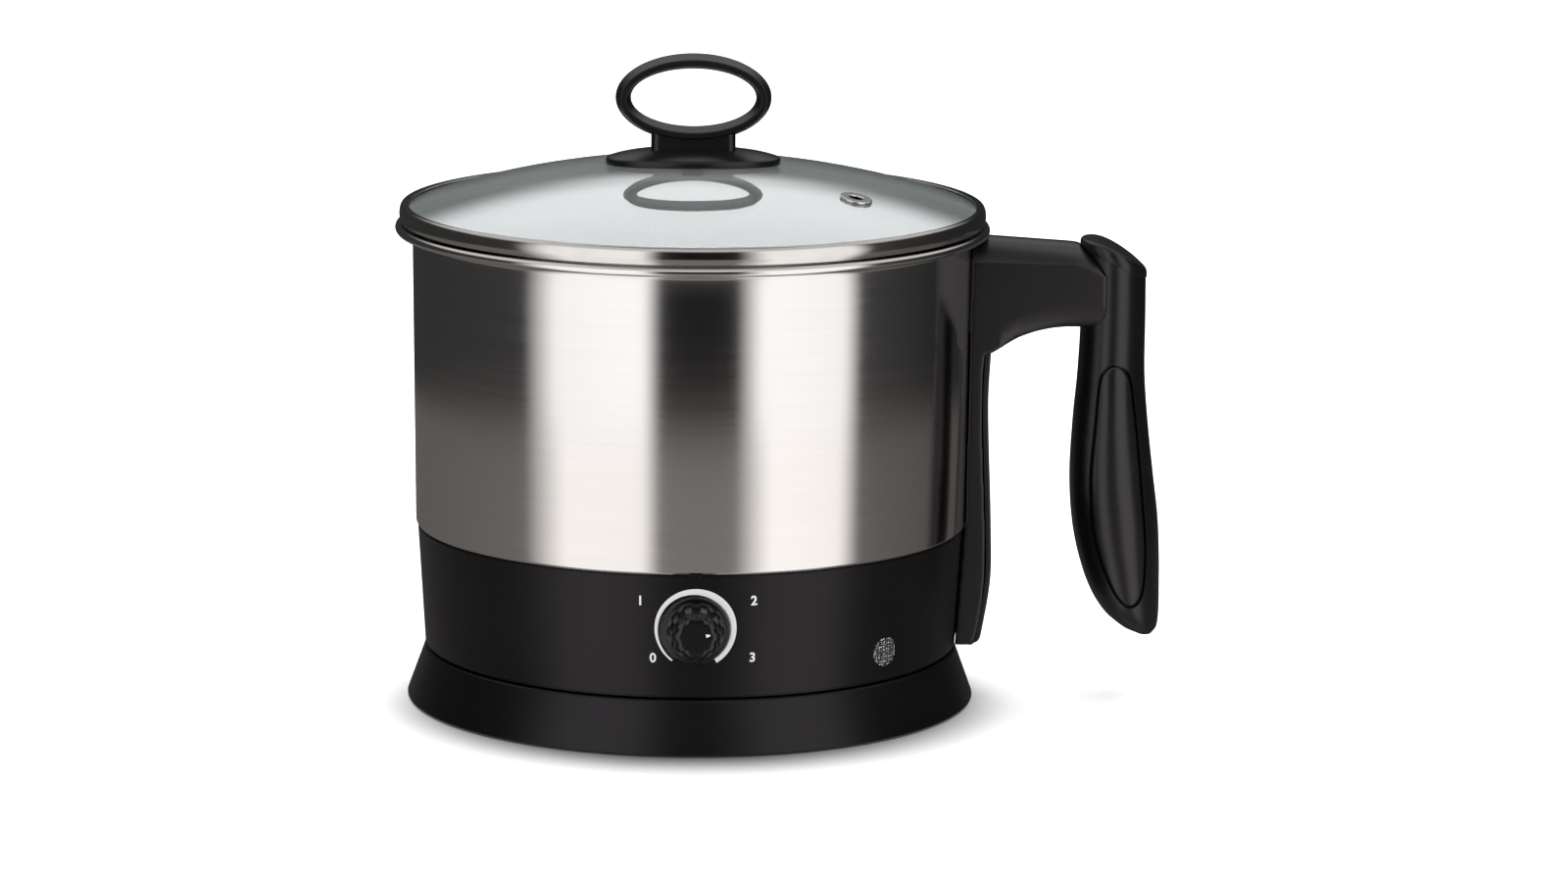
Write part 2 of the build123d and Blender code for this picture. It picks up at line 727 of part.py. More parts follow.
with BuildPart() as housing_screws:
    with BuildSketch(Plane.XY.offset(floor_z - screw_head_height)):
        with PolarLocations(post_circle, post_count, start_angle=90):
            Circle(screw_head)
    extrude(amount=screw_head_height)
    with BuildSketch(Plane.XY.offset(floor_z)):
        with PolarLocations(post_circle, post_count, start_angle=90):
            Circle(screw_radius)
    extrude(amount=floor_thickness + post_hole - screw_radius)
    with BuildSketch(Plane.XY.offset(floor_z - screw_head_height)):
        with PolarLocations(post_circle, post_count, start_angle=90):
            Rectangle(slot_length, screw_slot)
            Rectangle(screw_slot, slot_length)
    extrude(amount=screw_head_height / 2, mode=Mode.SUBTRACT)
save(housing_screws, "housing_screws")

# ------------------------------------------------------------------ thermostat
shaft_back = thermostat_face - thermostat_depth / 2
knob_back = recess_face + part_gap
with BuildPart() as thermostat_body:
    with BuildSketch(radial_plane(-90, knob_z, thermostat_face - thermostat_depth)):
        Rectangle(thermostat_width, thermostat_height)
    extrude(amount=thermostat_depth)
    fillet(thermostat_body.edges().filter_by(Axis.Y), case_round)
    with BuildSketch(radial_plane(-90, knob_z, thermostat_face)):
        Circle(bush_radius)
    extrude(amount=bush_length)
    with BuildSketch(radial_plane(-90, knob_z, shaft_back - part_gap)):
        Circle(shaft_radius + running_fit)
    extrude(amount=thermostat_depth + bush_length, mode=Mode.SUBTRACT)
    with BuildSketch(radial_plane(-90, knob_z, thermostat_face - thermostat_depth)):
        with GridLocations(thermostat_width / 2, 1, 2, 1):
            Rectangle(tab_thickness, tab_breadth)
    extrude(amount=-terminal_length)
save(thermostat_body, "thermostat_body")

with BuildPart() as thermostat_bracket:
    with BuildSketch(radial_plane(-90, knob_z, thermostat_face)):
        SlotOverall(bracket_width, thermostat_height)
        Circle(bush_radius + seat_gap, mode=Mode.SUBTRACT)
        with GridLocations(bracket_screw_spacing, 1, 2, 1):
            Circle(screw_radius + seat_gap, mode=Mode.SUBTRACT)
    extrude(amount=bracket_thickness)
save(thermostat_bracket, "thermostat_bracket")

with BuildPart() as bracket_screws:
    with BuildSketch(radial_plane(-90, knob_z, thermostat_face - screw_head_height)):
        with GridLocations(bracket_screw_spacing, 1, 2, 1):
            Circle(screw_head)
    extrude(amount=screw_head_height)
    with BuildSketch(radial_plane(-90, knob_z, thermostat_face)):
        with GridLocations(bracket_screw_spacing, 1, 2, 1):
            Circle(screw_radius)
    extrude(amount=bracket_thickness + boss_height / 2)
save(bracket_screws, "bracket_screws")

with BuildPart() as thermostat_shaft:
    with BuildSketch(radial_plane(-90, knob_z, shaft_back)):
        Circle(shaft_radius)
    extrude(amount=knob_back - shaft_back)
    with BuildSketch(radial_plane(-90, knob_z, knob_back)):
        Circle(shaft_radius)
        with Locations((0, shaft_radius)):
            Rectangle(2 * shaft_radius, 2 * shaft_flat, mode=Mode.SUBTRACT)
    extrude(amount=shaft_engage)
save(thermostat_shaft, "thermostat_shaft")

# ------------------------------------------------------------------ control knob
with BuildPart() as control_knob:
    with BuildSketch(radial_plane(-90, knob_z, knob_back)):
        Circle(skirt_radius)
    extrude(amount=skirt_thickness, taper=skirt_slope)
    with BuildSketch(radial_plane(-90, knob_z, knob_back)):
        Circle(knob_radius)
    extrude(amount=knob_length, taper=knob_taper)
    fillet(control_knob.faces().sort_by(Axis.Y)[0].edges(), knob_round)
    with BuildSketch(radial_plane(-90, knob_z, knob_back + skirt_thickness)):
        with PolarLocations(knob_radius + flute_radius - flute_depth, flute_count, start_angle=90):
            Circle(flute_radius)
    extrude(amount=knob_length, mode=Mode.SUBTRACT)
    with BuildSketch(radial_plane(-90, knob_z, knob_back + knob_length)):
        with PolarLocations(knob_radius / 2, 1, start_angle=90 - pointer_angle):
            RegularPolygon(pointer_size / 2, 3)
    extrude(amount=part_gap)
    with BuildSketch(radial_plane(-90, knob_z, knob_back)):
        Circle(shaft_radius + running_fit)
        with Locations((0, shaft_radius + running_fit)):
            Rectangle(3 * shaft_radius, 2 * shaft_flat, mode=Mode.SUBTRACT)
    extrude(amount=shaft_engage + part_gap, mode=Mode.SUBTRACT)
save(control_knob, "control_knob")

# ------------------------------------------------------------------ indicator lamp
with BuildPart() as indicator_lens:
    with BuildSketch(radial_plane(lens_side, lens_z, lens_back)):
        Circle(lens_radius)
    extrude(amount=lens_wall + lens_proud - lens_back)
    with BuildSketch(radial_plane(lens_side, lens_z, lens_back - lens_flange)):
        Circle(lens_radius + lens_flange)
    extrude(amount=lens_flange)
    with BuildSketch(radial_plane(lens_side, lens_z, lens_back - lens_sleeve)):
        Circle(lamp_radius + seat_gap + lens_flange)
    extrude(amount=lens_sleeve - lens_flange)
    with BuildSketch(radial_plane(lens_side, lens_z, lens_back - lens_sleeve)):
        Circle(lamp_radius + seat_gap)
    extrude(amount=lamp_length + part_gap, mode=Mode.SUBTRACT)
save(indicator_lens, "indicator_lens")

with BuildPart() as neon_lamp:
    with BuildSketch(radial_plane(lens_side, lens_z, lens_back - lens_sleeve)):
        Circle(lamp_radius)
    extrude(amount=lamp_length)
    with BuildSketch(radial_plane(lens_side, lens_z, lens_back - lens_sleeve - lead_length)):
        with GridLocations(lamp_radius, 1, 2, 1):
            Circle(lead_radius)
    extrude(amount=lead_length)
save(neon_lamp, "neon_lamp")

# ------------------------------------------------------------------ handle
arm_top_z = bead_z - bead_radius - arm_drop
arch_z = arm_top_z - arm_height
strap_face = pot_top_radius + strap_reach
cover_back = strap_face - strap_cover
strap_z = band_z + strap_lift
grip_in_x = strap_face + finger_gap
grip_mid_x = grip_in_x + grip_width / 2
grip_tip_z = strap_z + grip_tip_lift
grip_height = arm_top_z - grip_tip_z
arm_end_x = grip_mid_x - arm_stop
bend_x = pot_top_radius + arm_level
bend_z = arm_top_z - arm_bend
gap_mid_x = (strap_face + grip_in_x) / 2
lug_x = pot_top_radius + bracket_plate
lug_z = arch_z + lug_lift
bracket_z = lug_z - bracket_low
screw_x = lug_x + lug_length - 2 * screw_radius
tongue_top_z = arm_top_z - tongue_drop
tongue_z = tongue_top_z - tongue_height
slope = radians(cap_slope)

# Heights and offsets of the strap's outer face, from the arch's corner down to its bottom end.
strap_profile = (
    (arch_z - arch_fall, strap_cover / 3),
    (arch_z - 3 * arch_fall, 0.0),
    (band_top_z, strap_belly),
    (band_z + knob_height, strap_belly),
    (strap_z, -strap_tuck),
)

# Shares of the grip's height, of its width (inner and outer edge) and of its depth.
grip_sections = (
    (1.000, 0.011, 0.000, 1.000),
    (0.785, 0.006, 0.006, 1.000),
    (0.659, -0.028, 0.011, 1.017),
    (0.538, -0.090, 0.073, 1.069),
    (0.408, -0.124, 0.169, 1.121),
    (0.300, -0.085, 0.254, 1.155),
    (0.210, 0.017, 0.288, 1.155),
    (0.120, 0.203, 0.299, 1.086),
    (0.058, 0.435, 0.299, 0.914),
    (0.017, 0.729, 0.271, 0.621),
    (0.000, 0.955, 0.198, 0.345),
)

# Outline of a grip inlay, in shares of the grip's width and height.
inlay_outline = (
    (0.486, 0.692),
    (0.655, 0.680),
    (0.746, 0.650),
    (0.808, 0.582),
    (0.898, 0.460),
    (0.977, 0.326),
    (1.023, 0.228),
    (1.000, 0.134),
    (0.915, 0.093),
    (0.763, 0.084),
    (0.593, 0.108),
    (0.446, 0.152),
    (0.305, 0.213),
    (0.198, 0.286),
    (0.153, 0.382),
    (0.158, 0.443),
    (0.209, 0.540),
    (0.260, 0.641),
    (0.328, 0.676),
)


def wall_radius(z):
    """Outside radius of the vessel's straight wall at height z."""
    return pot_radius + pot_draft * (z - shoulder_z) / (flare_z - shoulder_z)


def strap_points(inset):
    """The strap's outer face, moved in by inset, from top to bottom."""
    return [(strap_face + out - inset, z) for z, out in strap_profile]


def bend_point(rise):
    """Where the arm's top, raised by rise, leaves its bend for the slope to the cap."""
    reach = arm_bend + rise
    return (bend_x + reach * sin(slope), bend_z + reach * cos(slope))


def bend_middle(rise):
    """Halfway round the bend."""
    reach = arm_bend + rise
    return (bend_x + reach * sin(slope / 2), bend_z + reach * cos(slope / 2))


def cap_plane(drop):
    """The sloping plane of the cap's top, lowered by drop along the vertical."""
    middle = (grip_mid_x, 0, arm_top_z - cap_fall - drop)
    return Plane(origin=middle, x_dir=(cos(slope), 0, -sin(slope)), z_dir=(sin(slope), 0, cos(slope)))


def inlay_edge(margin):
    """The grip inlay's outline, widened about its middle by margin."""
    across = [grip_in_x + share * grip_width for share, height in inlay_outline]
    up = [grip_tip_z + height * grip_height for share, height in inlay_outline]
    mid_x = (min(across) + max(across)) / 2
    mid_z = (min(up) + max(up)) / 2
    wider = 1 + 2 * margin / (max(across) - min(across))
    taller = 1 + 2 * margin / (max(up) - min(up))
    return [(mid_x + (x - mid_x) * wider, mid_z + (z - mid_z) * taller) for x, z in zip(across, up)]


cap_drop = cap_thickness / cos(slope)

with BuildPart() as handle_bracket:
    plate_arc = degrees(2 * bracket_half_width / pot_top_radius)
    with BuildSketch(section_plane(-plate_arc / 2)):
        with BuildLine():
            Polyline(
                (wall_radius(bracket_z) + running_fit, bracket_z),
                (wall_radius(bracket_z) + bracket_plate, bracket_z),
                (wall_radius(bracket_z + bracket_span) + bracket_plate, bracket_z + bracket_span),
                (wall_radius(bracket_z + bracket_span) + running_fit, bracket_z + bracket_span),
                close=True,
            )
        make_face()
    revolve(axis=Axis.Z, revolution_arc=plate_arc)
    with Locations((lug_x - bracket_plate / 2, 0, lug_z)):
        Box(
            lug_length + bracket_plate / 2,
            lug_width,
            lug_height,
            align=(Align.MIN, Align.CENTER, Align.MIN),
        )
    with Locations((screw_x, 0, lug_z)):
        Cylinder(
            screw_radius + seat_gap,
            lug_height,
            align=(Align.CENTER, Align.CENTER, Align.MIN),
            mode=Mode.SUBTRACT,
        )
save(handle_bracket, "handle_bracket")

# What the arm's crown leaves away: everything above an arch across its width, along its top.
crown_reach = handle_half_width + 1
crown_arc = (handle_half_width**2 + arm_crown**2) / (2 * arm_crown)
crown_low = crown_arc - sqrt(crown_arc**2 - crown_reach**2)
with BuildPart() as crown_waste:
    with BuildLine():
        level = Line((stub_radius, 0, arm_top_z), (bend_x, 0, arm_top_z))
        middle = bend_middle(0)
        leave = bend_point(0)
        bend = ThreePointArc(level @ 1, (middle[0], 0, middle[1]), (leave[0], 0, leave[1]))
        Line(bend @ 1, bend @ 1 + Vector(grip_width * cos(slope), 0, -grip_width * sin(slope)))
    with BuildSketch(Plane(origin=(stub_radius, 0, arm_top_z), x_dir=(0, 1, 0), z_dir=(1, 0, 0))):
        with BuildLine():
            ThreePointArc((-crown_reach, -crown_low), (0, 0), (crown_reach, -crown_low))
            Polyline(
                (crown_reach, -crown_low),
                (crown_reach, arm_crown / 2),
                (-crown_reach, arm_crown / 2),
                (-crown_reach, -crown_low),
            )
        make_face()
    sweep()

with BuildPart() as handle_frame:
    with BuildSketch(Plane.XZ):
        with BuildLine():
            frame_in = band_bottom_radius - band_wall
            raised = bend_point(1)
            Polyline((frame_in, strap_z), (frame_in, arm_top_z + 1), (bend_x, arm_top_z + 1))
            ThreePointArc((bend_x, arm_top_z + 1), bend_middle(1), raised)
            end_z = raised[1] - (arm_end_x - raised[0]) * sin(slope) / cos(slope)
            Polyline(raised, (arm_end_x, end_z), (arm_end_x, arch_z), (grip_in_x, arch_z))
            ThreePointArc(
                (grip_in_x, arch_z),
                (gap_mid_x, arch_z - arch_rise),
                (strap_face + strap_corner, arch_z - arch_fall + strap_corner / 2),
            )
            corner = strap_points(strap_cover + seat_gap)
            outer = strap_points(0)[0]
            Line((strap_face + strap_corner, arch_z - arch_fall + strap_corner / 2), outer)
            Line(outer, corner[0])
            Spline(*corner)
            Line(corner[-1], (frame_in, strap_z))
        make_face()
    extrude(amount=handle_half_width, both=True)
    add(crown_waste.part, mode=Mode.SUBTRACT)
    with BuildSketch(Plane.XZ):
        with BuildLine():
            Polyline(
                (0, 0),
                (band_radius(0) + part_gap, 0),
                (band_top_radius + part_gap, band_top_z),
                (pot_radius + part_gap, shoulder_z),
                (pot_top_radius + part_gap, flare_z),
                (pot_top_radius + part_gap + rim_flare, flange_z),
                (0, flange_z),
                close=True,
            )
        make_face()
    revolve(axis=Axis.Z, mode=Mode.SUBTRACT)
    with BuildSketch(Plane.XY.offset(arch_z - arch_fall)):
        with Locations((grip_mid_x, 0)):
            Ellipse(grip_width / 2 + part_gap, grip_depth / 2 + part_gap)
    extrude(amount=arm_height + 2 * arch_fall, mode=Mode.SUBTRACT)
    with Locations((grip_in_x - tongue_length / 5, 0, tongue_z)):
        Box(
            tongue_length * 1.2,
            tongue_width,
            tongue_height,
            align=(Align.MIN, Align.CENTER, Align.MIN),
        )
    with Locations((stub_radius, 0, bracket_z - seat_gap)):
        Box(
            lug_x + part_gap - stub_radius,
            2 * (bracket_half_width + seat_gap),
            bracket_span + 2 * seat_gap,
            align=(Align.MIN, Align.CENTER, Align.MIN),
            mode=Mode.SUBTRACT,
        )
    with Locations((lug_x, 0, lug_z - seat_gap)):
        Box(
            lug_length + seat_gap,
            lug_width + 2 * seat_gap,
            lug_height + 2 * seat_gap,
            align=(Align.MIN, Align.CENTER, Align.MIN),
            mode=Mode.SUBTRACT,
        )
    with BuildSketch(Plane.XY.offset(arch_z - arch_fall)):
        with Locations((screw_x, 0)):
            Circle(screw_radius + seat_gap)
    extrude(amount=arch_fall + lug_height, mode=Mode.SUBTRACT)
    with BuildSketch(Plane.XY.offset(lug_z - seat_gap - screw_floor)):
        with Locations((screw_x, 0)):
            Circle(screw_head + seat_gap)
    extrude(amount=-arch_fall, mode=Mode.SUBTRACT)
    with BuildSketch(Plane.XY.offset(tongue_z)):
        with Locations((grip_in_x + tongue_length / 2, 0)):
            Circle(screw_radius + seat_gap)
    extrude(amount=tongue_height, mode=Mode.SUBTRACT)
    with BuildSketch(radial_plane(0, strap_screw_z, band_bottom_radius)):
        Circle(screw_radius + seat_gap)
    extrude(amount=band_taper + strap_screw_reach, mode=Mode.SUBTRACT)
save(handle_frame, "handle_frame")

with BuildPart() as strap_cover_strip:
    with BuildSketch(Plane.XZ):
        with BuildLine():
            face = strap_points(0)
            back = strap_points(strap_cover)
            Line(back[0], face[0])
            Spline(*face)
            Line(face[-1], back[-1])
            Spline(*back)
        make_face()
    extrude(amount=handle_half_width, both=True)
save(strap_cover_strip, "strap_cover")

with BuildPart() as grip_body:
    for height, inner, outer, depth in grip_sections:
        with BuildSketch(Plane.XY.offset(grip_tip_z + height * grip_height)):
            with Locations((grip_mid_x + grip_width * (inner + outer) / 2, 0)):
                Ellipse(grip_width * (1 + outer - inner) / 2, depth * grip_depth / 2)
    loft()

with BuildPart() as inlay_prism:
    with BuildSketch(Plane.XZ):
        with BuildLine():
            Spline(*inlay_edge(0), periodic=True)
        make_face()
    extrude(amount=grip_depth, both=True)
    with BuildSketch(Plane.XZ):
        with Locations((grip_mid_x, grip_tip_z + grip_height / 2)):
            Rectangle(3 * grip_width, 2 * grip_height)
    extrude(amount=grip_depth / 2 - inlay_depth, both=True, mode=Mode.SUBTRACT)

with BuildPart() as inlay_pocket:
    with BuildSketch(Plane.XZ):
        with BuildLine():
            Spline(*inlay_edge(inlay_groove), periodic=True)
        make_face()
    extrude(amount=grip_depth, both=True)
    with BuildSketch(Plane.XZ):
        with Locations((grip_mid_x, grip_tip_z + grip_height / 2)):
            Rectangle(3 * grip_width, 2 * grip_height)
    extrude(amount=grip_depth / 2 - inlay_depth - running_fit, both=True, mode=Mode.SUBTRACT)

with BuildPart() as grip_inlays:
    add(grip_body.part)
    add(inlay_prism.part, mode=Mode.INTERSECT)
save(grip_inlays, "grip_inlays")

pocket_top_z = tongue_top_z + seat_gap
with BuildPart() as grip_shell:
    add(grip_body.part)
    add(inlay_pocket.part, mode=Mode.SUBTRACT)
    split(bisect_by=cap_plane(cap_drop + running_fit), keep=Keep.BOTTOM)
    with Locations((grip_in_x - tongue_length / 2, 0, tongue_z - seat_gap)):
        Box(
            tongue_length * 1.5 + seat_gap,
            tongue_width + 2 * seat_gap,
            tongue_height + 2 * seat_gap,
            align=(Align.MIN, Align.CENTER, Align.MIN),
            mode=Mode.SUBTRACT,
        )
    with BuildSketch(Plane.XY.offset(pocket_top_z + screw_floor)):
        with Locations((grip_in_x + tongue_length / 2, 0)):
            Circle(screw_head + seat_gap)
    extrude(amount=arm_height, mode=Mode.SUBTRACT)
    with BuildSketch(Plane.XY.offset(tongue_top_z)):
        with Locations((grip_in_x + tongue_length / 2, 0)):
            Circle(screw_radius + seat_gap)
    extrude(amount=arm_height, mode=Mode.SUBTRACT)
save(grip_shell, "grip_shell")

with BuildPart() as handle_cap:
    with BuildSketch(Plane.XY.offset(arch_z)):
        with Locations((grip_mid_x, 0)):
            Ellipse(grip_width / 2 + cap_lip, grip_depth / 2 + cap_lip)
    extrude(amount=2 * arm_height)
    split(bisect_by=cap_plane(0), keep=Keep.BOTTOM)
    split(bisect_by=cap_plane(cap_drop), keep=Keep.TOP)
    fillet(handle_cap.faces().sort_by(Axis.Z)[-1].edges(), cap_round)
    with BuildSketch(Plane.XY.offset(pocket_top_z + screw_floor + screw_head_height)):
        with Locations((grip_in_x + tongue_length / 2, 0)):
            Circle(screw_head)
    extrude(until=Until.NEXT)
save(handle_cap, "handle_cap")

strap_screw_start = band_radius(strap_screw_z) - band_wall - screw_head_height - part_gap
with BuildPart() as handle_screws:
    with BuildSketch(Plane.XY.offset(lug_z - seat_gap - screw_floor)):
        with Locations((screw_x, 0)):
            Circle(screw_head)
    extrude(amount=-screw_head_height)
    with BuildSketch(Plane.XY.offset(lug_z - seat_gap - screw_floor)):
        with Locations((screw_x, 0)):
            Circle(screw_radius)
    extrude(amount=screw_floor + seat_gap + lug_height)
    with BuildSketch(Plane.XY.offset(pocket_top_z + screw_floor)):
        with Locations((grip_in_x + tongue_length / 2, 0)):
            Circle(screw_head)
    extrude(amount=screw_head_height)
    with BuildSketch(Plane.XY.offset(tongue_z)):
        with Locations((grip_in_x + tongue_length / 2, 0)):
            Circle(screw_radius)
    extrude(amount=pocket_top_z + screw_floor - tongue_z)
    with BuildSketch(radial_plane(0, strap_screw_z, strap_screw_start)):
        Circle(screw_head)
    extrude(amount=screw_head_height)
    with BuildSketch(radial_plane(0, strap_screw_z, strap_screw_start + screw_head_height)):
        Circle(screw_radius)
    extrude(amount=band_wall + strap_screw_reach)
save(handle_screws, "handle_screws")

# ------------------------------------------------------------------ lid
rim_z = bead_top_z + part_gap
rim_out = bead_circle - rim_overlap
rim_top_z = rim_z + rim_height
skirt_out = pot_top_radius - pot_wall - locating_play
glass_edge = rim_out - rim_wall - glass_edge_gap
glass_edge_z = rim_z + rim_wall + seat_gap + glass_thickness
glass_radius = (glass_edge**2 + dome_rise**2) / (2 * dome_rise)
apex_z = glass_edge_z + dome_rise
sphere_z = apex_z - glass_radius
vent_tilt = asin(vent_circle / glass_radius)
vent_way = Vector(
    sin(vent_tilt) * cos(radians(vent_angle)),
    -sin(vent_tilt) * sin(radians(vent_angle)),
    cos(vent_tilt),
)


def vent_plane(rise):
    """Square to the glass at the vent, rise above its outer face."""
    return Plane(origin=Vector(0, 0, sphere_z) + vent_way * (glass_radius + rise), z_dir=vent_way)


with BuildPart() as lid_rim:
    with BuildSketch(Plane.XZ):
        with BuildLine():
            Polyline(
                (skirt_out, rim_z - locating_skirt),
                (skirt_out, rim_z),
                (rim_out, rim_z),
                (rim_out, rim_top_z - rim_roll),
            )
            ThreePointArc(
                (rim_out, rim_top_z - rim_roll),
                (rim_out - rim_roll * (1 - sqrt(0.5)), rim_top_z - rim_roll * (1 - sqrt(0.5))),
                (rim_out - rim_roll, rim_top_z),
            )
            roll = rim_roll - rim_wall
            turn = (rim_out - rim_roll, rim_top_z - rim_roll)
            Polyline(
                (rim_out - rim_roll, rim_top_z),
                (rim_out - rim_lip, rim_top_z),
                (rim_out - rim_lip, rim_top_z - rim_wall),
                (rim_out - rim_roll, rim_top_z - rim_wall),
            )
            ThreePointArc(
                (rim_out - rim_roll, rim_top_z - rim_wall),
                (turn[0] + roll * sqrt(0.5), turn[1] + roll * sqrt(0.5)),
                (rim_out - rim_wall, turn[1]),
            )
            Polyline(
                (rim_out - rim_wall, turn[1]),
                (rim_out - rim_wall, rim_z + rim_wall),
                (skirt_out - rim_wall, rim_z + rim_wall),
                (skirt_out - rim_wall, rim_z - locating_skirt),
                (skirt_out, rim_z - locating_skirt),
            )
        make_face()
    revolve(axis=Axis.Z)
save(lid_rim, "lid_rim")

with BuildPart() as lid_glass:
    with BuildSketch(Plane.XZ):
        with BuildLine():
            middle_r = glass_edge / 2
            middle_z = sphere_z + sqrt(glass_radius**2 - middle_r**2)
            ThreePointArc((0, apex_z), (middle_r, middle_z), (glass_edge, glass_edge_z))
            Line((glass_edge, glass_edge_z), (glass_edge, glass_edge_z - glass_thickness))
            ThreePointArc(
                (glass_edge, glass_edge_z - glass_thickness),
                (middle_r, middle_z - glass_thickness),
                (0, apex_z - glass_thickness),
            )
            Line((0, apex_z - glass_thickness), (0, apex_z))
        make_face()
    revolve(axis=Axis.Z)
    with BuildSketch(Plane.XY.offset(glass_edge_z)):
        Circle(knob_hole)
    extrude(amount=2 * dome_rise, mode=Mode.SUBTRACT)
    with BuildSketch(vent_plane(glass_thickness)):
        Circle(vent_hole + vent_wall + seat_gap)
    extrude(amount=-3 * glass_thickness, mode=Mode.SUBTRACT)
save(lid_glass, "lid_glass")

vent_under = -glass_thickness - 2 * seat_gap
with BuildPart() as vent_grommet:
    with BuildSketch(vent_plane(running_fit)):
        Circle(vent_flange)
    extrude(amount=vent_wall)
    with BuildSketch(vent_plane(vent_under)):
        Circle(vent_hole + vent_wall)
    extrude(amount=running_fit - vent_under)
    with BuildSketch(vent_plane(vent_under)):
        Circle(vent_flange - vent_wall)
    extrude(amount=-vent_wall)
    with BuildSketch(vent_plane(glass_thickness)):
        Circle(vent_hole)
    extrude(amount=-3 * glass_thickness, mode=Mode.SUBTRACT)
    rounds = vent_grommet.edges().filter_by(GeomType.CIRCLE).sort_by(Axis.Z)
    fillet(rounds.filter_by(lambda e: abs(e.radius - vent_flange) < seat_gap)[-1], vent_wall / 2)
save(vent_grommet, "vent_grommet")

# ------------------------------------------------------------------ lid knob
flange_under = glass_radius + seat_gap
flange_over = flange_under + flange_thickness
ring_z = apex_z + flange_thickness + ring_lift

with BuildPart() as knob_gasket:
    with Locations((0, 0, sphere_z)):
        Sphere(flange_under + gasket_thickness)
        Sphere(glass_radius + running_fit, mode=Mode.SUBTRACT)
    with BuildSketch(Plane.XY.offset(glass_edge_z)):
        Circle(gasket_radius)
        Circle(knob_hole, mode=Mode.SUBTRACT)
    extrude(amount=2 * dome_rise, mode=Mode.INTERSECT)
save(knob_gasket, "knob_gasket")

with BuildPart() as lid_knob_base:
    with Locations((0, 0, sphere_z)):
        Sphere(flange_over)
        Sphere(flange_under, mode=Mode.SUBTRACT)
    with BuildSketch(Plane.XY.offset(glass_edge_z)):
        Ellipse(flange_half_width, flange_half_depth)
    extrude(amount=2 * dome_rise, mode=Mode.INTERSECT)
    fillet(lid_knob_base.faces().sort_by(Axis.Z)[-1].edges(), flange_thickness / 3)
    with BuildSketch(Plane.XY.offset(glass_edge_z)):
        Circle(screw_radius + seat_gap)
    extrude(amount=2 * dome_rise, mode=Mode.SUBTRACT)
    with BuildPart(mode=Mode.PRIVATE) as recess:
        with Locations((0, 0, sphere_z)):
            Sphere(flange_under + gasket_thickness + seat_gap)
        with BuildSketch(Plane.XY.offset(glass_edge_z)):
            Circle(gasket_radius + seat_gap)
        extrude(amount=2 * dome_rise, mode=Mode.INTERSECT)
    add(recess.part, mode=Mode.SUBTRACT)
save(lid_knob_base, "lid_knob_base")

with BuildPart() as lid_knob:
    with BuildSketch(Plane.XY.offset(apex_z)):
        RectangleRounded(neck_width, neck_depth, neck_round)
    extrude(amount=ring_lift + flange_thickness - ring_half_height + ring_section / 2)
    with Locations((0, 0, sphere_z)):
        Sphere(flange_over + running_fit, mode=Mode.SUBTRACT)
    for side in (1, -1):
        with BuildSketch(Plane.XZ):
            with Locations((0, ring_z)):
                Ellipse(ring_half_width + ring_section / 2, ring_half_height + ring_section / 2)
        with BuildSketch(Plane.XZ.offset(side * ring_depth / 2)):
            with Locations((0, ring_z)):
                Ellipse(ring_half_width + ring_face / 2, ring_half_height + ring_face / 2)
        loft(ruled=True)
    for side in (1, -1):
        with BuildSketch(Plane.XZ):
            with Locations((0, ring_z)):
                Ellipse(ring_half_width - ring_section / 2, ring_half_height - ring_section / 2)
        with BuildSketch(Plane.XZ.offset(side * ring_depth / 2)):
            with Locations((0, ring_z)):
                Ellipse(ring_half_width - ring_face / 2, ring_half_height - ring_face / 2)
        loft(ruled=True, mode=Mode.SUBTRACT)
    with BuildSketch(Plane.XY.offset(apex_z)):
        Circle(screw_radius + seat_gap)
    extrude(amount=knob_screw_reach, mode=Mode.SUBTRACT)
save(lid_knob, "lid_knob")

washer_z = apex_z - glass_thickness - washer_thickness - seat_gap
with BuildPart() as knob_washer:
    with BuildSketch(Plane.XY.offset(washer_z)):
        Circle(washer_radius)
        Circle(screw_radius + seat_gap, mode=Mode.SUBTRACT)
    extrude(amount=washer_thickness)
save(knob_washer, "knob_washer")

with BuildPart() as knob_screw:
    with BuildSketch(Plane.XY.offset(washer_z - screw_head_height)):
        Circle(2 * screw_radius)
    extrude(amount=screw_head_height)
    with BuildSketch(Plane.XY.offset(washer_z)):
        Circle(screw_radius)
    extrude(amount=apex_z + knob_screw_reach - seat_gap - washer_z)
save(knob_screw, "knob_screw")
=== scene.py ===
import bmesh
import bpy
from math import asin, cos, pi, radians, sin, sqrt, tan
from mathutils import Matrix, Vector


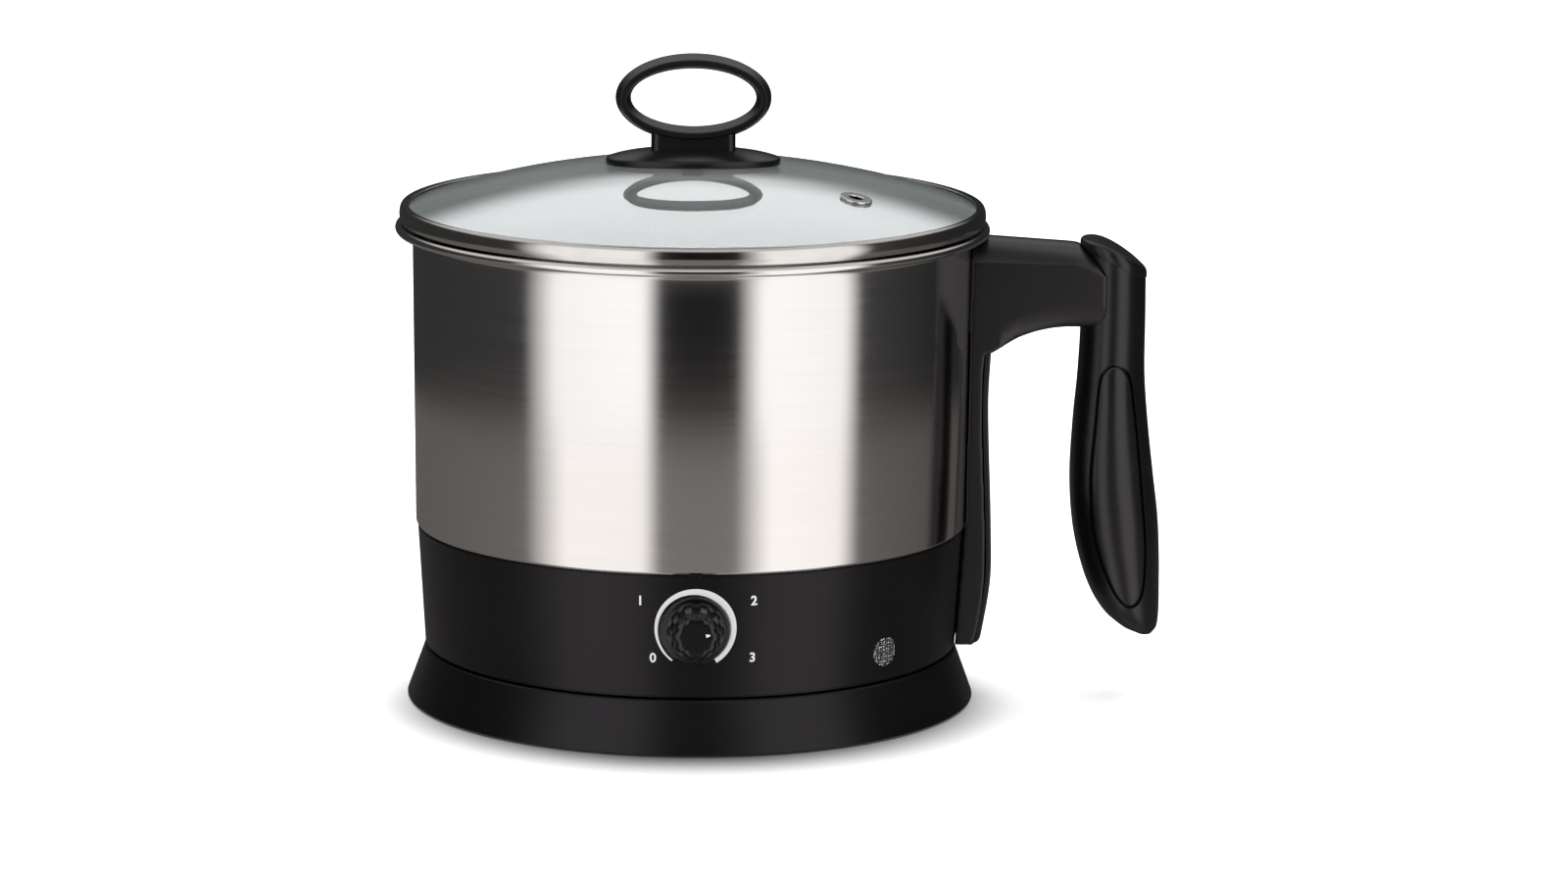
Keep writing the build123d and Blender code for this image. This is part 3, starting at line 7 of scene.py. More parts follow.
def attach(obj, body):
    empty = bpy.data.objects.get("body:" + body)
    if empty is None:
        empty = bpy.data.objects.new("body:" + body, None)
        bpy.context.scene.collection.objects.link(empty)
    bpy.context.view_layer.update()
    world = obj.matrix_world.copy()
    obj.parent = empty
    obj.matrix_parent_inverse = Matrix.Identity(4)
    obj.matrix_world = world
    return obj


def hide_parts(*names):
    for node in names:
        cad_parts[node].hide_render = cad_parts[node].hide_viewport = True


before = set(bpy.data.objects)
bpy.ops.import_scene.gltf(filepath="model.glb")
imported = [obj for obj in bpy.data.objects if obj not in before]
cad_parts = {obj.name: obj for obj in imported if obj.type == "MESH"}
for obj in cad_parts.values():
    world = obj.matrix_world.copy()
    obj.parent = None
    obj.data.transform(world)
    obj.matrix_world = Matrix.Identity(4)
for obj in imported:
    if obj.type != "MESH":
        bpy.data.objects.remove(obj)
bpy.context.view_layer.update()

# ---------------- power base: shell
# The shell is one injection moulding in black satin polypropylene. Its skirt flares out to the
# table, its deck is flat, and a low island rises in the middle round the connector tower. The
# cord leaves through a round bore at the back.
MM = 0.001
WELD = 2e-6
BASE_CORNERS = (
    (75.3, 0.5, 0.2), (77.55, 0.5, 0.35), (72.5, 14.5, 1.0), (26.0, 14.5, 0.8), (24.0, 16.5, 0.5),
    (17.3, 16.5, 0.25), (17.3, 12.5, 0.1), (70.3, 12.5, 0.6),
)


def rounded(corners, closed=True, facets=6):
    """An outline through (radius, height, corner round), with its corners rounded off."""
    points = []
    count = len(corners)
    for i, (x, z, r) in enumerate(corners):
        here = Vector((x, z))
        if r <= 0 or (not closed and i in (0, count - 1)):
            points.append(here)
            continue
        back = Vector(corners[i - 1][:2]) - here
        ahead = Vector(corners[(i + 1) % count][:2]) - here
        half = back.angle(ahead) / 2
        reach = min(r / tan(half), back.length * 0.45, ahead.length * 0.45)
        r = reach * tan(half)
        middle = here + (back.normalized() + ahead.normalized()).normalized() * (r / sin(half))
        start = here + back.normalized() * reach
        finish = here + ahead.normalized() * reach
        turn = (start - middle).angle_signed(finish - middle)
        points.append(start + back.normalized() * min(0.2 * r, back.length * 0.02))
        for k in range(facets + 1):
            swing = Matrix.Rotation(-turn * k / facets, 2)
            points.append(middle + swing @ (start - middle))
        points.append(finish + ahead.normalized() * min(0.2 * r, ahead.length * 0.02))
    return points


def new_tree(name, sockets):
    """A Geometry Nodes tree with named inputs: (tree, its inputs' sockets, its output's socket)."""
    tree = bpy.data.node_groups.new(name, "GeometryNodeTree")
    tree.interface.new_socket("Geometry", in_out="INPUT", socket_type="NodeSocketGeometry")
    for label, kind in sockets:
        tree.interface.new_socket(label, in_out="INPUT", socket_type="NodeSocket" + kind)
    tree.interface.new_socket("Geometry", in_out="OUTPUT", socket_type="NodeSocketGeometry")
    return tree, tree.nodes.new("NodeGroupInput").outputs, tree.nodes.new("NodeGroupOutput").inputs


def add(tree, kind, inputs=None, **settings):
    """A node with its settings made, and each input given a value or linked to an output socket."""
    node = tree.nodes.new(kind)
    for label, value in settings.items():
        setattr(node, label, value)
    for label, value in (inputs or {}).items():
        if isinstance(value, bpy.types.NodeSocket):
            tree.links.new(value, node.inputs[label])
        else:
            node.inputs[label].default_value = value
    return node


def sums(tree, operation, *values):
    """What a Math node makes of its values, which are numbers or output sockets."""
    return add(tree, "ShaderNodeMath", dict(enumerate(values)), operation=operation).outputs[0]


def painted_end(tree, geometry, material, result):
    """Ends a tree: instances are made real and the material is set."""
    real = add(tree, "GeometryNodeRealizeInstances", {0: geometry})
    painted = add(tree, "GeometryNodeSetMaterial", {"Geometry": real.outputs[0], "Material": material})
    tree.links.new(painted.outputs[0], result[0])


# A turned piece: a strip with one column per step is wrapped round the axis on the outline.
turning, given, result = new_tree("turned piece", (("Steps", "Int"), ("Material", "Material")))
counted = add(turning, "GeometryNodeAttributeDomainSize", {"Geometry": given["Geometry"]})
rows = counted.outputs["Point Count"]
columns = sums(turning, "ADD", given["Steps"], 1.0)
strip = add(turning, "GeometryNodeMeshGrid", {"Vertices X": columns, "Vertices Y": rows})
index = add(turning, "GeometryNodeInputIndex").outputs[0]
column = sums(turning, "FLOOR", sums(turning, "DIVIDE", index, rows))
row = sums(turning, "SUBTRACT", index, sums(turning, "MULTIPLY", column, rows))
angle = sums(turning, "MULTIPLY", sums(turning, "DIVIDE", column, given["Steps"]), 2 * pi)
place = add(turning, "GeometryNodeInputPosition").outputs[0]
picked = {"Geometry": given["Geometry"], "Value": place, "Index": row}
sampled = add(turning, "GeometryNodeSampleIndex", picked, data_type="FLOAT_VECTOR")
parts = add(turning, "ShaderNodeSeparateXYZ", {0: sampled.outputs[0]}).outputs
wound = {"Z": parts["Z"]}
for axis, share in (("X", "COSINE"), ("Y", "SINE")):
    wound[axis] = sums(turning, "MULTIPLY", parts["X"], sums(turning, share, angle))
wound = add(turning, "ShaderNodeCombineXYZ", wound)
moved = {"Geometry": strip.outputs["Mesh"], "Position": wound.outputs[0]}
wrapped = add(turning, "GeometryNodeSetPosition", moved)
welded = add(turning, "GeometryNodeMergeByDistance", {"Geometry": wrapped.outputs[0], "Distance": WELD})
painted_end(turning, welded.outputs[0], given["Material"], result)


def in_scene(name, data):
    """A new object in the scene with the given mesh, curve, lamp or camera."""
    obj = bpy.data.objects.new(name, data)
    bpy.context.scene.collection.objects.link(obj)
    return obj


def made_plain(obj, name):
    """The object as its modifiers leave it, as a plain mesh object of that name."""
    bpy.context.view_layer.update()
    seen = obj.evaluated_get(bpy.context.evaluated_depsgraph_get())
    mesh = bpy.data.meshes.new_from_object(seen)
    bpy.data.objects.remove(obj)
    mesh.name = name
    return in_scene(name, mesh)


def run_nodes(obj, label, tree, values):
    """Puts a Geometry Nodes tree on an object, with its named inputs set by their identifiers."""
    modifier = obj.modifiers.new(label, "NODES")
    modifier.node_group = tree
    for item in tree.interface.items_tree:
        if item.item_type == "SOCKET" and item.in_out == "INPUT" and item.name in values:
            modifier[item.identifier] = values[item.name]


def grown(seed_mesh, tree, values, name):
    """Runs a Geometry Nodes tree on a mesh with named input values, and returns a plain piece."""
    obj = in_scene(name + "_seed", seed_mesh)
    run_nodes(obj, "making", tree, values)
    return made_plain(obj, name)


def settle(piece, sharp=38.0, outward=True):
    """Merges doubles, turns faces outwards and shades the piece smooth up to the sharp angle."""
    shape = bmesh.new()
    shape.from_mesh(piece.data)
    bmesh.ops.remove_doubles(shape, verts=shape.verts, dist=WELD)
    if outward:
        bmesh.ops.recalc_face_normals(shape, faces=shape.faces)
    for face in shape.faces:
        face.smooth = True
    shape.to_mesh(piece.data)
    shape.free()
    piece.data.set_sharp_from_angle(angle=radians(sharp))
    return piece


def mesh_piece(name, verts, faces, material=None, sharp=38.0):
    """A settled piece from corner points in millimetres."""
    mesh = bpy.data.meshes.new(name)
    mesh.from_pydata([tuple(c * MM for c in v) for v in verts], [], faces)
    if material:
        mesh.materials.append(material)
    return settle(in_scene(name, mesh), sharp)


def turned(name, outline, material, steps=256, closed=True):
    """A piece turned about the pot's axis from an outline in millimetres."""
    path = list(outline) + ([outline[0]] if closed else [])
    mesh = bpy.data.meshes.new(name)
    edges = [(i, i + 1) for i in range(len(path) - 1)]
    mesh.from_pydata([(p[0] * MM, 0.0, p[1] * MM) for p in path], edges, [])
    return settle(grown(mesh, turning, {"Steps": steps, "Material": material}, name))


def all_round(count):
    """The angles of evenly spaced steps once round."""
    return [2 * pi * k / count for k in range(count)]


def bands(rows, count, closed=False):
    """The faces between rows of corners, each row going once round."""
    faces = []
    for row in range(rows if closed else rows - 1):
        low, high = row * count, (row + 1) % rows * count
        for k in range(count):
            ahead = (k + 1) % count
            faces.append((low + k, low + ahead, high + ahead, high + k))
    return faces


def bore(name, radius, length, where, way, steps=96):
    """A round cutting tool, from where along way, in millimetres."""
    turn = Vector(way).to_track_quat("Z", "Y").to_matrix()
    verts = [
        Vector(where) + turn @ Vector((radius * cos(a), radius * sin(a), end))
        for end in (0.0, length)
        for a in all_round(steps)
    ]
    ends = [tuple(range(steps))[::-1], tuple(range(steps, 2 * steps))]
    return mesh_piece(name, verts, bands(2, steps) + ends)


def carved(piece, tools, operation="DIFFERENCE", sharp=38.0):
    """The piece after its cutting tools have been taken out of it, or joined to it."""
    for tool in tools:
        cut = piece.modifiers.new(tool.name, "BOOLEAN")
        cut.object = tool
        cut.operation = operation
        cut.solver = "EXACT"
    done = made_plain(piece, piece.name.split(".")[0])
    for tool in tools:
        bpy.data.objects.remove(tool)
    return settle(done, sharp, outward=False)


def tone(level):
    """A display tone from 0 to 255 as a scene-linear number."""
    share = level / 255.0
    return share / 12.92 if share <= 0.04045 else ((share + 0.055) / 1.055) ** 2.4


def grey(level, warm=0.0):
    """A scene-linear colour of that display tone, with red and blue pulled apart by warm."""
    return (tone(level + warm), tone(level), tone(level - warm), 1.0)


def shader_group(name, inputs, outputs):
    """A shader node group of floats: (group, its inputs' sockets, its outputs' sockets)."""
    group = bpy.data.node_groups.new(name, "ShaderNodeTree")
    for label, value in inputs:
        socket = group.interface.new_socket(label, in_out="INPUT", socket_type="NodeSocketFloat")
        socket.default_value = value
    for label in outputs:
        group.interface.new_socket(label, in_out="OUTPUT", socket_type="NodeSocketFloat")
    return group, group.nodes.new("NodeGroupInput").outputs, group.nodes.new("NodeGroupOutput").inputs


def swung(tree, mask, swing):
    """A mask from 0 to 1 as a change up and down by a share of swing."""
    return sums(tree, "MULTIPLY", sums(tree, "SUBTRACT", mask, 0.5), swing)


def surface(name, inputs, fine_detail, slow_scale, slow_detail, peppered):
    """A skin of fine marks and slow patches. Its inputs: marks per metre, shine, how it varies."""
    group, given, result = shader_group(name, inputs, ("Height", "Roughness", "Patch"))
    per_metre, shine, varied = (given[label] for label, value in inputs)
    where = add(group, "ShaderNodeTexCoord").outputs["Object"]
    noises = []
    for scale, detail in ((per_metre, fine_detail), (slow_scale, slow_detail)):
        noise = add(group, "ShaderNodeTexNoise", {"Vector": where, "Scale": scale, "Detail": detail})
        noises.append(noise.outputs["Fac"])
    fine, slow = noises
    change = swung(group, slow, varied)
    if peppered:
        change = sums(group, "ADD", change, swung(group, fine, varied))
    group.links.new(fine, result["Height"])
    group.links.new(slow, result["Patch"])
    group.links.new(sums(group, "ADD", shine, change), result["Roughness"])
    return group


# Moulded plastic: the fine spark-eroded grain of the mould, and slow changes in its shine.
grain_inputs = (("Grain per metre", 3200.0), ("Shine", 0.35), ("Shine swing", 0.08))
grain = surface("mould grain", grain_inputs, 3.0, 26.0, 4.0, peppered=True)


def blank_material(name):
    """A material with a Principled shader: (material, its tree, its shader)."""
    material = bpy.data.materials.new(name)
    material.use_nodes = True
    return material, material.node_tree, material.node_tree.nodes["Principled BSDF"]


def use_group(tree, group, **values):
    """Places a shader node group in a material with its own input values."""
    inputs = {label.replace("_", " "): value for label, value in values.items()}
    return add(tree, "ShaderNodeGroup", inputs, node_tree=group).outputs


def colour_ramp(tree, factor, stops):
    """A colour that follows the factor through (place, colour) stops in rising order."""
    ramp = add(tree, "ShaderNodeValToRGB", {"Fac": factor})
    elements = ramp.color_ramp.elements
    for k, (spot, colour) in enumerate(stops):
        stop = elements[k] if k < 2 else elements.new(spot)
        stop.position = spot
    for stop, (spot, colour) in zip(sorted(elements, key=lambda e: e.position), stops):
        stop.color = colour
    return ramp.outputs["Color"]


def two_tone(tree, factor, low, high):
    """A colour that goes from low to high with the factor."""
    return colour_ramp(tree, factor, ((0.3, low), (0.7, high)))


def coat(tree, shader, skin, colour, depth=0.0):
    """Gives the shader its colour, and a skin's uneven shine and relief."""
    tree.links.new(colour, shader.inputs["Base Color"])
    tree.links.new(skin["Roughness"], shader.inputs["Roughness"])
    if depth:
        felt = {"Height": skin["Height"], "Distance": depth, "Strength": 1.0}
        bump = add(tree, "ShaderNodeBump", felt)
        tree.links.new(bump.outputs["Normal"], shader.inputs["Normal"])


FAINT_VIOLET = (1.0, 0.92, 1.0, 1)


def moulding(name, dark, light, shine, swing, depth, warm=0.0, per_metre=3200.0, specular=0.5):
    """A moulded plastic: two close tones in slow patches, mould grain and a satin shine."""
    material, tree, shader = blank_material(name)
    skin = use_group(tree, grain, Grain_per_metre=per_metre, Shine=shine, Shine_swing=swing)
    coat(tree, shader, skin, two_tone(tree, skin["Patch"], grey(dark, warm), grey(light, warm)), depth)
    shader.inputs["Specular IOR Level"].default_value = specular
    shader.inputs["Specular Tint"].default_value = FAINT_VIOLET
    return material


base_plastic = moulding("black_base_plastic", 8, 12, 0.33, 0.10, 0.000012, specular=0.28)
base_shell = turned("base_shell_moulding", rounded(BASE_CORNERS), base_plastic)
base_shell = carved(base_shell, [bore("gland_bore", 4.4, 12.0, (0, 66.0, 7.65), (0, 1, 0))])
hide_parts("base_shell")
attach(base_shell, "power_base")

# ---------------- power base: underside
# A flat moulded plate closes the base from below. Three cross-head screws hold it, sunk in
# cups, and it stands on five rubber feet that are pressed into shallow pockets.
smoothing, given, result = new_tree("machine edges", (("Crease angle", "Float"),))
corners = {"Geometry": given["Geometry"], "Distance": WELD}
merged = add(smoothing, "GeometryNodeMergeByDistance", corners)
soft = add(smoothing, "GeometryNodeSetShadeSmooth", {"Geometry": merged.outputs[0]})
fold = add(smoothing, "GeometryNodeInputMeshEdgeAngle").outputs["Unsigned Angle"]
angles = {0: fold, 1: given["Crease angle"]}
folded = add(smoothing, "FunctionNodeCompare", angles, operation="GREATER_THAN")
creased = {"Geometry": soft.outputs[0], "Selection": folded.outputs[0], "Shade Smooth": False}
creases = add(smoothing, "GeometryNodeSetShadeSmooth", creased, domain="EDGE")
smoothing.links.new(creases.outputs[0], result[0])


def dressed(node, material):
    """A CAD node that stays gets its finish, merged corners and creased shading."""
    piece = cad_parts[node]
    if piece.material_slots:
        for place in piece.material_slots:
            place.material = material
    else:
        piece.data.materials.append(material)
    run_nodes(piece, "edges", smoothing, {"Crease angle": radians(30)})
    even = piece.modifiers.new("even shading", "WEIGHTED_NORMAL")
    even.keep_sharp = True


dressed("base_plate", base_plastic)

rubber = moulding("foot_rubber", 30, 40, 0.62, 0.12, 0.00002, per_metre=1800.0, specular=0.3)
FOOT_CORNERS = ((0, 0.0, 0), (6.0, 0.0, 0.45), (6.0, 2.0, 0.15), (0, 2.0, 0))

# Like pieces: copies of one piece stand on a circle, with one more in the middle if wanted.
ring_inputs = (
    ("Count", "Int"), ("Circle radius", "Float"), ("First angle", "Float"), ("Middle one", "Bool"),
    ("Material", "Material"),
)
ring_of, given, result = new_tree("pieces on a circle", ring_inputs)
sized = {"Vertices": given["Count"], "Radius": given["Circle radius"]}
circle = add(ring_of, "GeometryNodeMeshCircle", sized).outputs["Mesh"]
turn_by = add(ring_of, "ShaderNodeCombineXYZ", {"Z": given["First angle"]}).outputs[0]
turner = add(ring_of, "GeometryNodeTransform", {"Geometry": circle, "Rotation": turn_by}).outputs[0]
copied = {"Points": turner, "Instance": given["Geometry"]}
placed = add(ring_of, "GeometryNodeInstanceOnPoints", copied)
wanted = {"Switch": given["Middle one"], "True": given["Geometry"]}
chosen = add(ring_of, "GeometryNodeSwitch", wanted, input_type="GEOMETRY")
both = add(ring_of, "GeometryNodeJoinGeometry", {0: placed.outputs["Instances"]})
ring_of.links.new(chosen.outputs[0], both.inputs[0])
painted_end(ring_of, both.outputs[0], given["Material"], result)

one_foot = turned("one_foot", rounded(FOOT_CORNERS, closed=False), rubber, steps=48, closed=False)
feet_on = {"Count": 4, "Circle radius": 61.0 * MM, "First angle": radians(45), "Middle one": True}
feet = grown(one_foot.data, ring_of, {**feet_on, "Material": rubber}, "rubber_feet")
bpy.data.objects.remove(one_foot)
settle(feet)
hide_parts("base_feet")
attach(feet, "power_base")

# Metals: fine marks and small patches of wear, here first on the zinc-plated screws.
plating_inputs = (("Lines per metre", 5200.0), ("Shine", 0.3), ("Wear", 0.15))
plating = surface("metal wear", plating_inputs, 2.0, 140.0, 5.0, peppered=False)


def metal(name, dark, light, shine, wear, depth=0.000006, per_metre=5200.0):
    """A bare or plated metal: two close tones in small patches, fine marks and uneven shine."""
    material, tree, shader = blank_material(name)
    skin = use_group(tree, plating, Lines_per_metre=per_metre, Shine=shine, Wear=wear)
    coat(tree, shader, skin, two_tone(tree, skin["Patch"], dark + (1,), light + (1,)), depth)
    shader.inputs["Metallic"].default_value = 1.0
    return material


screw_steel = metal("zinc_plated_steel", (0.42, 0.41, 0.39), (0.55, 0.54, 0.52), 0.32, 0.2)
brass = metal("contact_brass", (0.62, 0.44, 0.18), (0.78, 0.58, 0.27), 0.22, 0.25)
dressed("base_screws", screw_steel)

# ---------------- power base: gland and tower
# The cord's gland is a soft rubber bush pushed in from inside. The connector tower is a black
# heat-proof moulding with a bore for the pin and two ring slots, each with a sprung contact.
gland_rubber = moulding("gland_rubber", 24, 32, 0.55, 0.12, 0.00002, per_metre=1800.0, specular=0.35)
tower_plastic = moulding("connector_plastic", 18, 26, 0.42, 0.12, 0.000012)
dressed("cord_gland", gland_rubber)
dressed("base_connector", tower_plastic)
dressed("base_contacts", brass)

# ---------------- pot's half of the connector
# A cup moulded in the same heat-proof plastic drops over the tower. Its brass pin and two brass
# rings are pressed into the cup's ceiling and reach down into the tower's slots.
dressed("kettle_connector", tower_plastic)
dressed("connector_contacts", brass)
dressed("connector_keeper", tower_plastic)

# ---------------- heater under the vessel
# An aluminium plate is brazed to the vessel's bottom with a sheathed element under it. A cutout
# and a thermal fuse in a spring clip are pressed against the plate.
aluminium = metal("cast_aluminium", (0.46, 0.46, 0.46), (0.62, 0.62, 0.61), 0.42, 0.2, 0.00002, 2400.0)
sheath = metal("element_sheath", (0.25, 0.24, 0.22), (0.36, 0.34, 0.31), 0.45, 0.25, 0.00001)
sleeving = moulding("lamp_and_fuse_sleeve", 120, 150, 0.5, 0.1, 0.00001, warm=8.0)
silicone = moulding("silicone_seal", 150, 165, 0.6, 0.1, 0.00001, warm=2.0, specular=0.3)
phenolic = moulding("thermostat_case", 36, 48, 0.5, 0.12, 0.00002)
dressed("seal_ring", silicone)
dressed("heat_plate", aluminium)
dressed("heating_element", sheath)
dressed("element_terminals", brass)
dressed("boil_dry_cutout", phenolic)
dressed("thermal_fuse", sleeving)
dressed("fuse_clip", screw_steel)

# ---------------- housing band
# The pot's housing is one black satin moulding, a band that narrows towards the base, with a
# spot face sunk for the knob and a small locating tab on its top edge. The steel stands in it.
KNOB_Z, LENS_Z, LENS_TURN = 33.7, 23.2, radians(-46)
BAND_CORNERS = (
    (70.1, 14.8, 0.2), (71.5, 14.8, 0.1), (71.5, 15.4, 0.1), (72.54, 15.45, 0.25), (74.6, 48.3, 0.55),
    (73.3, 48.3, 0.1), (73.3, 42.3, 0.2), (67.5, 42.3, 0.3), (67.5, 40.5, 0.3), (71.7, 40.5, 0.3),
)
housing_plastic = moulding("black_housing_plastic", 8, 12, 0.32, 0.10, 0.000010, specular=0.26)
band = turned("housing_band_moulding", rounded(BAND_CORNERS), housing_plastic, steps=360)
lens_way = Vector((cos(LENS_TURN), sin(LENS_TURN), 0))
lens_up = Vector((0, 0, LENS_Z))
band = carved(
    band,
    [
        bore("knob_spot_face", 9.5, 6.0, (0, -72.785, KNOB_Z), (0, -1, 0)),
        bore("bush_bore", 4.6, 12.0, (0, -64.0, KNOB_Z), (0, -1, 0), steps=48),
        bore("lens_bore", 4.05, 8.0, lens_way * 68.0 + lens_up, lens_way, steps=64),
    ],
)
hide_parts("housing_band")
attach(band, "kettle")
dressed("housing_bottom", base_plastic)
dressed("housing_screws", screw_steel)


def block(name, low, high, material, edge):
    """A moulded block between two corners in millimetres, with its edges rounded."""
    x0, y0, z0 = low
    x1, y1, z1 = high
    verts = [(x, y, z) for z in (z0, z1) for y in (y0, y1) for x in (x0, x1)]
    faces = [(0, 2, 3, 1), (4, 5, 7, 6), (0, 1, 5, 4), (2, 6, 7, 3), (0, 4, 6, 2), (1, 3, 7, 5)]
    piece = mesh_piece(name, verts, faces, material)
    soft = piece.modifiers.new("edge round", "BEVEL")
    soft.width = edge * MM
    soft.segments = 3
    return settle(made_plain(piece, name))


tab = block("housing_tab", (-1.75, -75.36, 47.8), (1.75, -74.45, 48.5), housing_plastic, 0.12)
tab_lip = block("tab_lip", (-1.75, -75.36, 48.2), (1.75, -75.1, 49.15), housing_plastic, 0.1)
tab = carved(tab, [tab_lip], "UNION")
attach(tab, "kettle")

# ---------------- thermostat
# The thermostat is a phenolic block with a flatted steel shaft, screwed to the inside of the
# housing behind the knob through a pressed steel bracket.
dressed("thermostat_body", phenolic)
dressed("thermostat_bracket", screw_steel)
dressed("bracket_screws", screw_steel)
dressed("thermostat_shaft", screw_steel)

# ---------------- control knob and its dial
# A fluted black knob with a flared skirt turns on the thermostat's shaft. Its pointer is a small
# raised wedge filled with white. Round it a tapering white crescent and four plain numbers for
# the settings are pad-printed on the housing.
GRIP_R, FLUTE_R, FLUTE_OUT, FLUTES = 7.35, 1.5, 0.7, 10
KNOB_BACK, KNOB_FACE, FACE_ROUND, SHAFT_R = -73.085, -83.485, 2.585, 3.2
POINTER = radians(10)


def knob_outline(share, angle):
    """Radius of the fluted grip at an angle: ten hollows between rounded ribs."""
    step = 2 * pi / FLUTES
    off = (angle - pi / 2 + step / 2) % step - step / 2
    ring = GRIP_R + FLUTE_OUT
    inside = FLUTE_R ** 2 - (ring * sin(off)) ** 2
    if inside <= 0:
        return GRIP_R
    hollow = ring * cos(off) - sqrt(inside)
    return min(GRIP_R, hollow) * share + GRIP_R * (1 - share)


# Each row: height along the axis, then a plain radius, or how deep the flutes run and a shift.
knob_rows = (
    (KNOB_BACK, SHAFT_R, None, 0), (KNOB_BACK, 9.2, None, 0), (-73.16, 9.38, None, 0),
    (-73.28, 9.42, None, 0), (-75.0, 8.94, None, 0), (-75.25, 8.80, None, 0), (-75.385, 8.5, None, 0),
    (-75.40, 7.9, None, 0), (-75.46, 0, 0.0, 0.35), (-75.6, 0, 0.9, 0.08), (-75.9, 0, 1.0, -0.08),
    (-77.0, 0, 1.0, -0.25), (-79.0, 0, 0.95, -0.58),
)
for k in range(13):
    a = pi * k / 24
    knob_rows += ((-80.9 - FACE_ROUND * sin(a), 0, 0.88 - 0.68 * k / 12, -0.92 - 2.5 * (1 - cos(a))),)
knob_rows += ((KNOB_FACE, 0, 0.0, -4.4),)
ROUND = 240
verts = []
for y, plain, share, shift in knob_rows:
    for a in all_round(ROUND):
        r = plain if share is None else knob_outline(share, a) + shift
        verts.append((r * cos(a), y, KNOB_Z + r * sin(a)))
faces = bands(len(knob_rows), ROUND)
bottom = len(verts)
faces.append(tuple(range(bottom - ROUND, bottom)))
verts += [(SHAFT_R * cos(a), -76.2, KNOB_Z + SHAFT_R * sin(a)) for a in all_round(ROUND)]
faces += [(k, (k + 1) % ROUND, bottom + (k + 1) % ROUND, bottom + k) for k in range(ROUND)]
faces.append(tuple(range(bottom, bottom + ROUND)))
knob_plastic = moulding("black_knob_plastic", 8, 11, 0.22, 0.06, 0.000006, specular=0.45)
knob = mesh_piece("control_knob_moulding", verts, faces, knob_plastic, sharp=50.0)
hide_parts("control_knob")
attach(knob, "knob")

print_white = moulding("white_pad_print", 228, 240, 0.45, 0.15, 0.000006, per_metre=5200.0)
out = Vector((cos(POINTER), 0, sin(POINTER)))
side = Vector((-sin(POINTER), 0, cos(POINTER)))
face_mid = Vector((0, KNOB_FACE, KNOB_Z))
wedge = []
MIDDLE = 3.1
for depth, grow in ((0.02, 1.0), (-0.18, 1.0), (-0.28, 0.86)):
    for along, across in ((2.6, 0.5), (2.6, -0.5), (3.7, -0.14), (3.7, 0.14)):
        point = face_mid + out * (MIDDLE + (along - MIDDLE) * grow) + side * (across * grow)
        wedge.append((point.x, point.y + depth, point.z))
faces = [(0, 1, 2, 3), (8, 11, 10, 9)] + bands(3, 4)
pointer = mesh_piece("knob_pointer", wedge, faces, print_white)
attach(pointer, "knob")


BAND_LOW, BAND_TALL, BAND_R, BAND_FLARE, DIAL_BAND_R = 14.8, 33.5, 72.5, 2.1, 73.9


def on_band(across, up, lift):
    """A point of the housing's face from its distance round the band and its height."""
    r = BAND_R + BAND_FLARE * (up - BAND_LOW) / BAND_TALL + lift
    a = across / DIAL_BAND_R
    return (r * sin(a), -r * cos(a), up)


DIAL_FROM, DIAL_SWEEP, DIAL_R, DIAL_STEPS = radians(-125.5), radians(-293.0), 10.85, 180
verts = []
for k in range(DIAL_STEPS + 1):
    share = k / DIAL_STEPS
    a = DIAL_FROM + DIAL_SWEEP * share
    wide = 0.45 + 2.35 * share ** 1.05
    for lift in (-0.05, 0.05):
        for r in (DIAL_R - wide, DIAL_R):
            verts.append(on_band(r * cos(a), KNOB_Z + 0.2 + r * sin(a), lift))
sides = ((0, 4, 5, 1), (2, 3, 7, 6), (0, 2, 6, 4), (1, 5, 7, 3))
faces = [tuple(4 * k + corner for corner in face) for k in range(DIAL_STEPS) for face in sides]
end = 4 * DIAL_STEPS
faces += [(0, 1, 3, 2), (end, end + 2, end + 3, end + 1)]
crescent = mesh_piece("dial_crescent", verts, faces, print_white)
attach(crescent, "kettle")


def printed(name, words, across, up, height):
    """Plain raised figures on the housing's face, centred on a point of it."""
    curve = bpy.data.curves.new(name, "FONT")
    curve.body = words
    curve.size = height * 1.35 * MM
    curve.align_x = "CENTER"
    curve.align_y = "CENTER"
    curve.extrude = 0.03 * MM
    curve.offset = 0.09 * MM
    curve.resolution_u = 5
    piece = made_plain(in_scene(name, curve), name)
    piece.data.materials.clear()
    piece.data.materials.append(print_white)
    shape = bmesh.new()
    shape.from_mesh(piece.data)
    bmesh.ops.remove_doubles(shape, verts=shape.verts, dist=WELD)
    bmesh.ops.triangulate(shape, faces=shape.faces)
    for vert in shape.verts:
        x, y, z = (c / MM for c in vert.co)
        vert.co = Vector(on_band(across + x, up + y, 0.03 + z)) * MM
    shape.to_mesh(piece.data)
    shape.free()
    return settle(piece)


marks = (("0", -11.3, 25.75), ("1", -14.6, 41.2), ("2", 15.4, 41.2), ("3", 15.3, 25.75))
for figure, across, up in marks:
    number = printed("dial_number_" + figure, figure, across, up, 2.6)
    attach(number, "kettle")

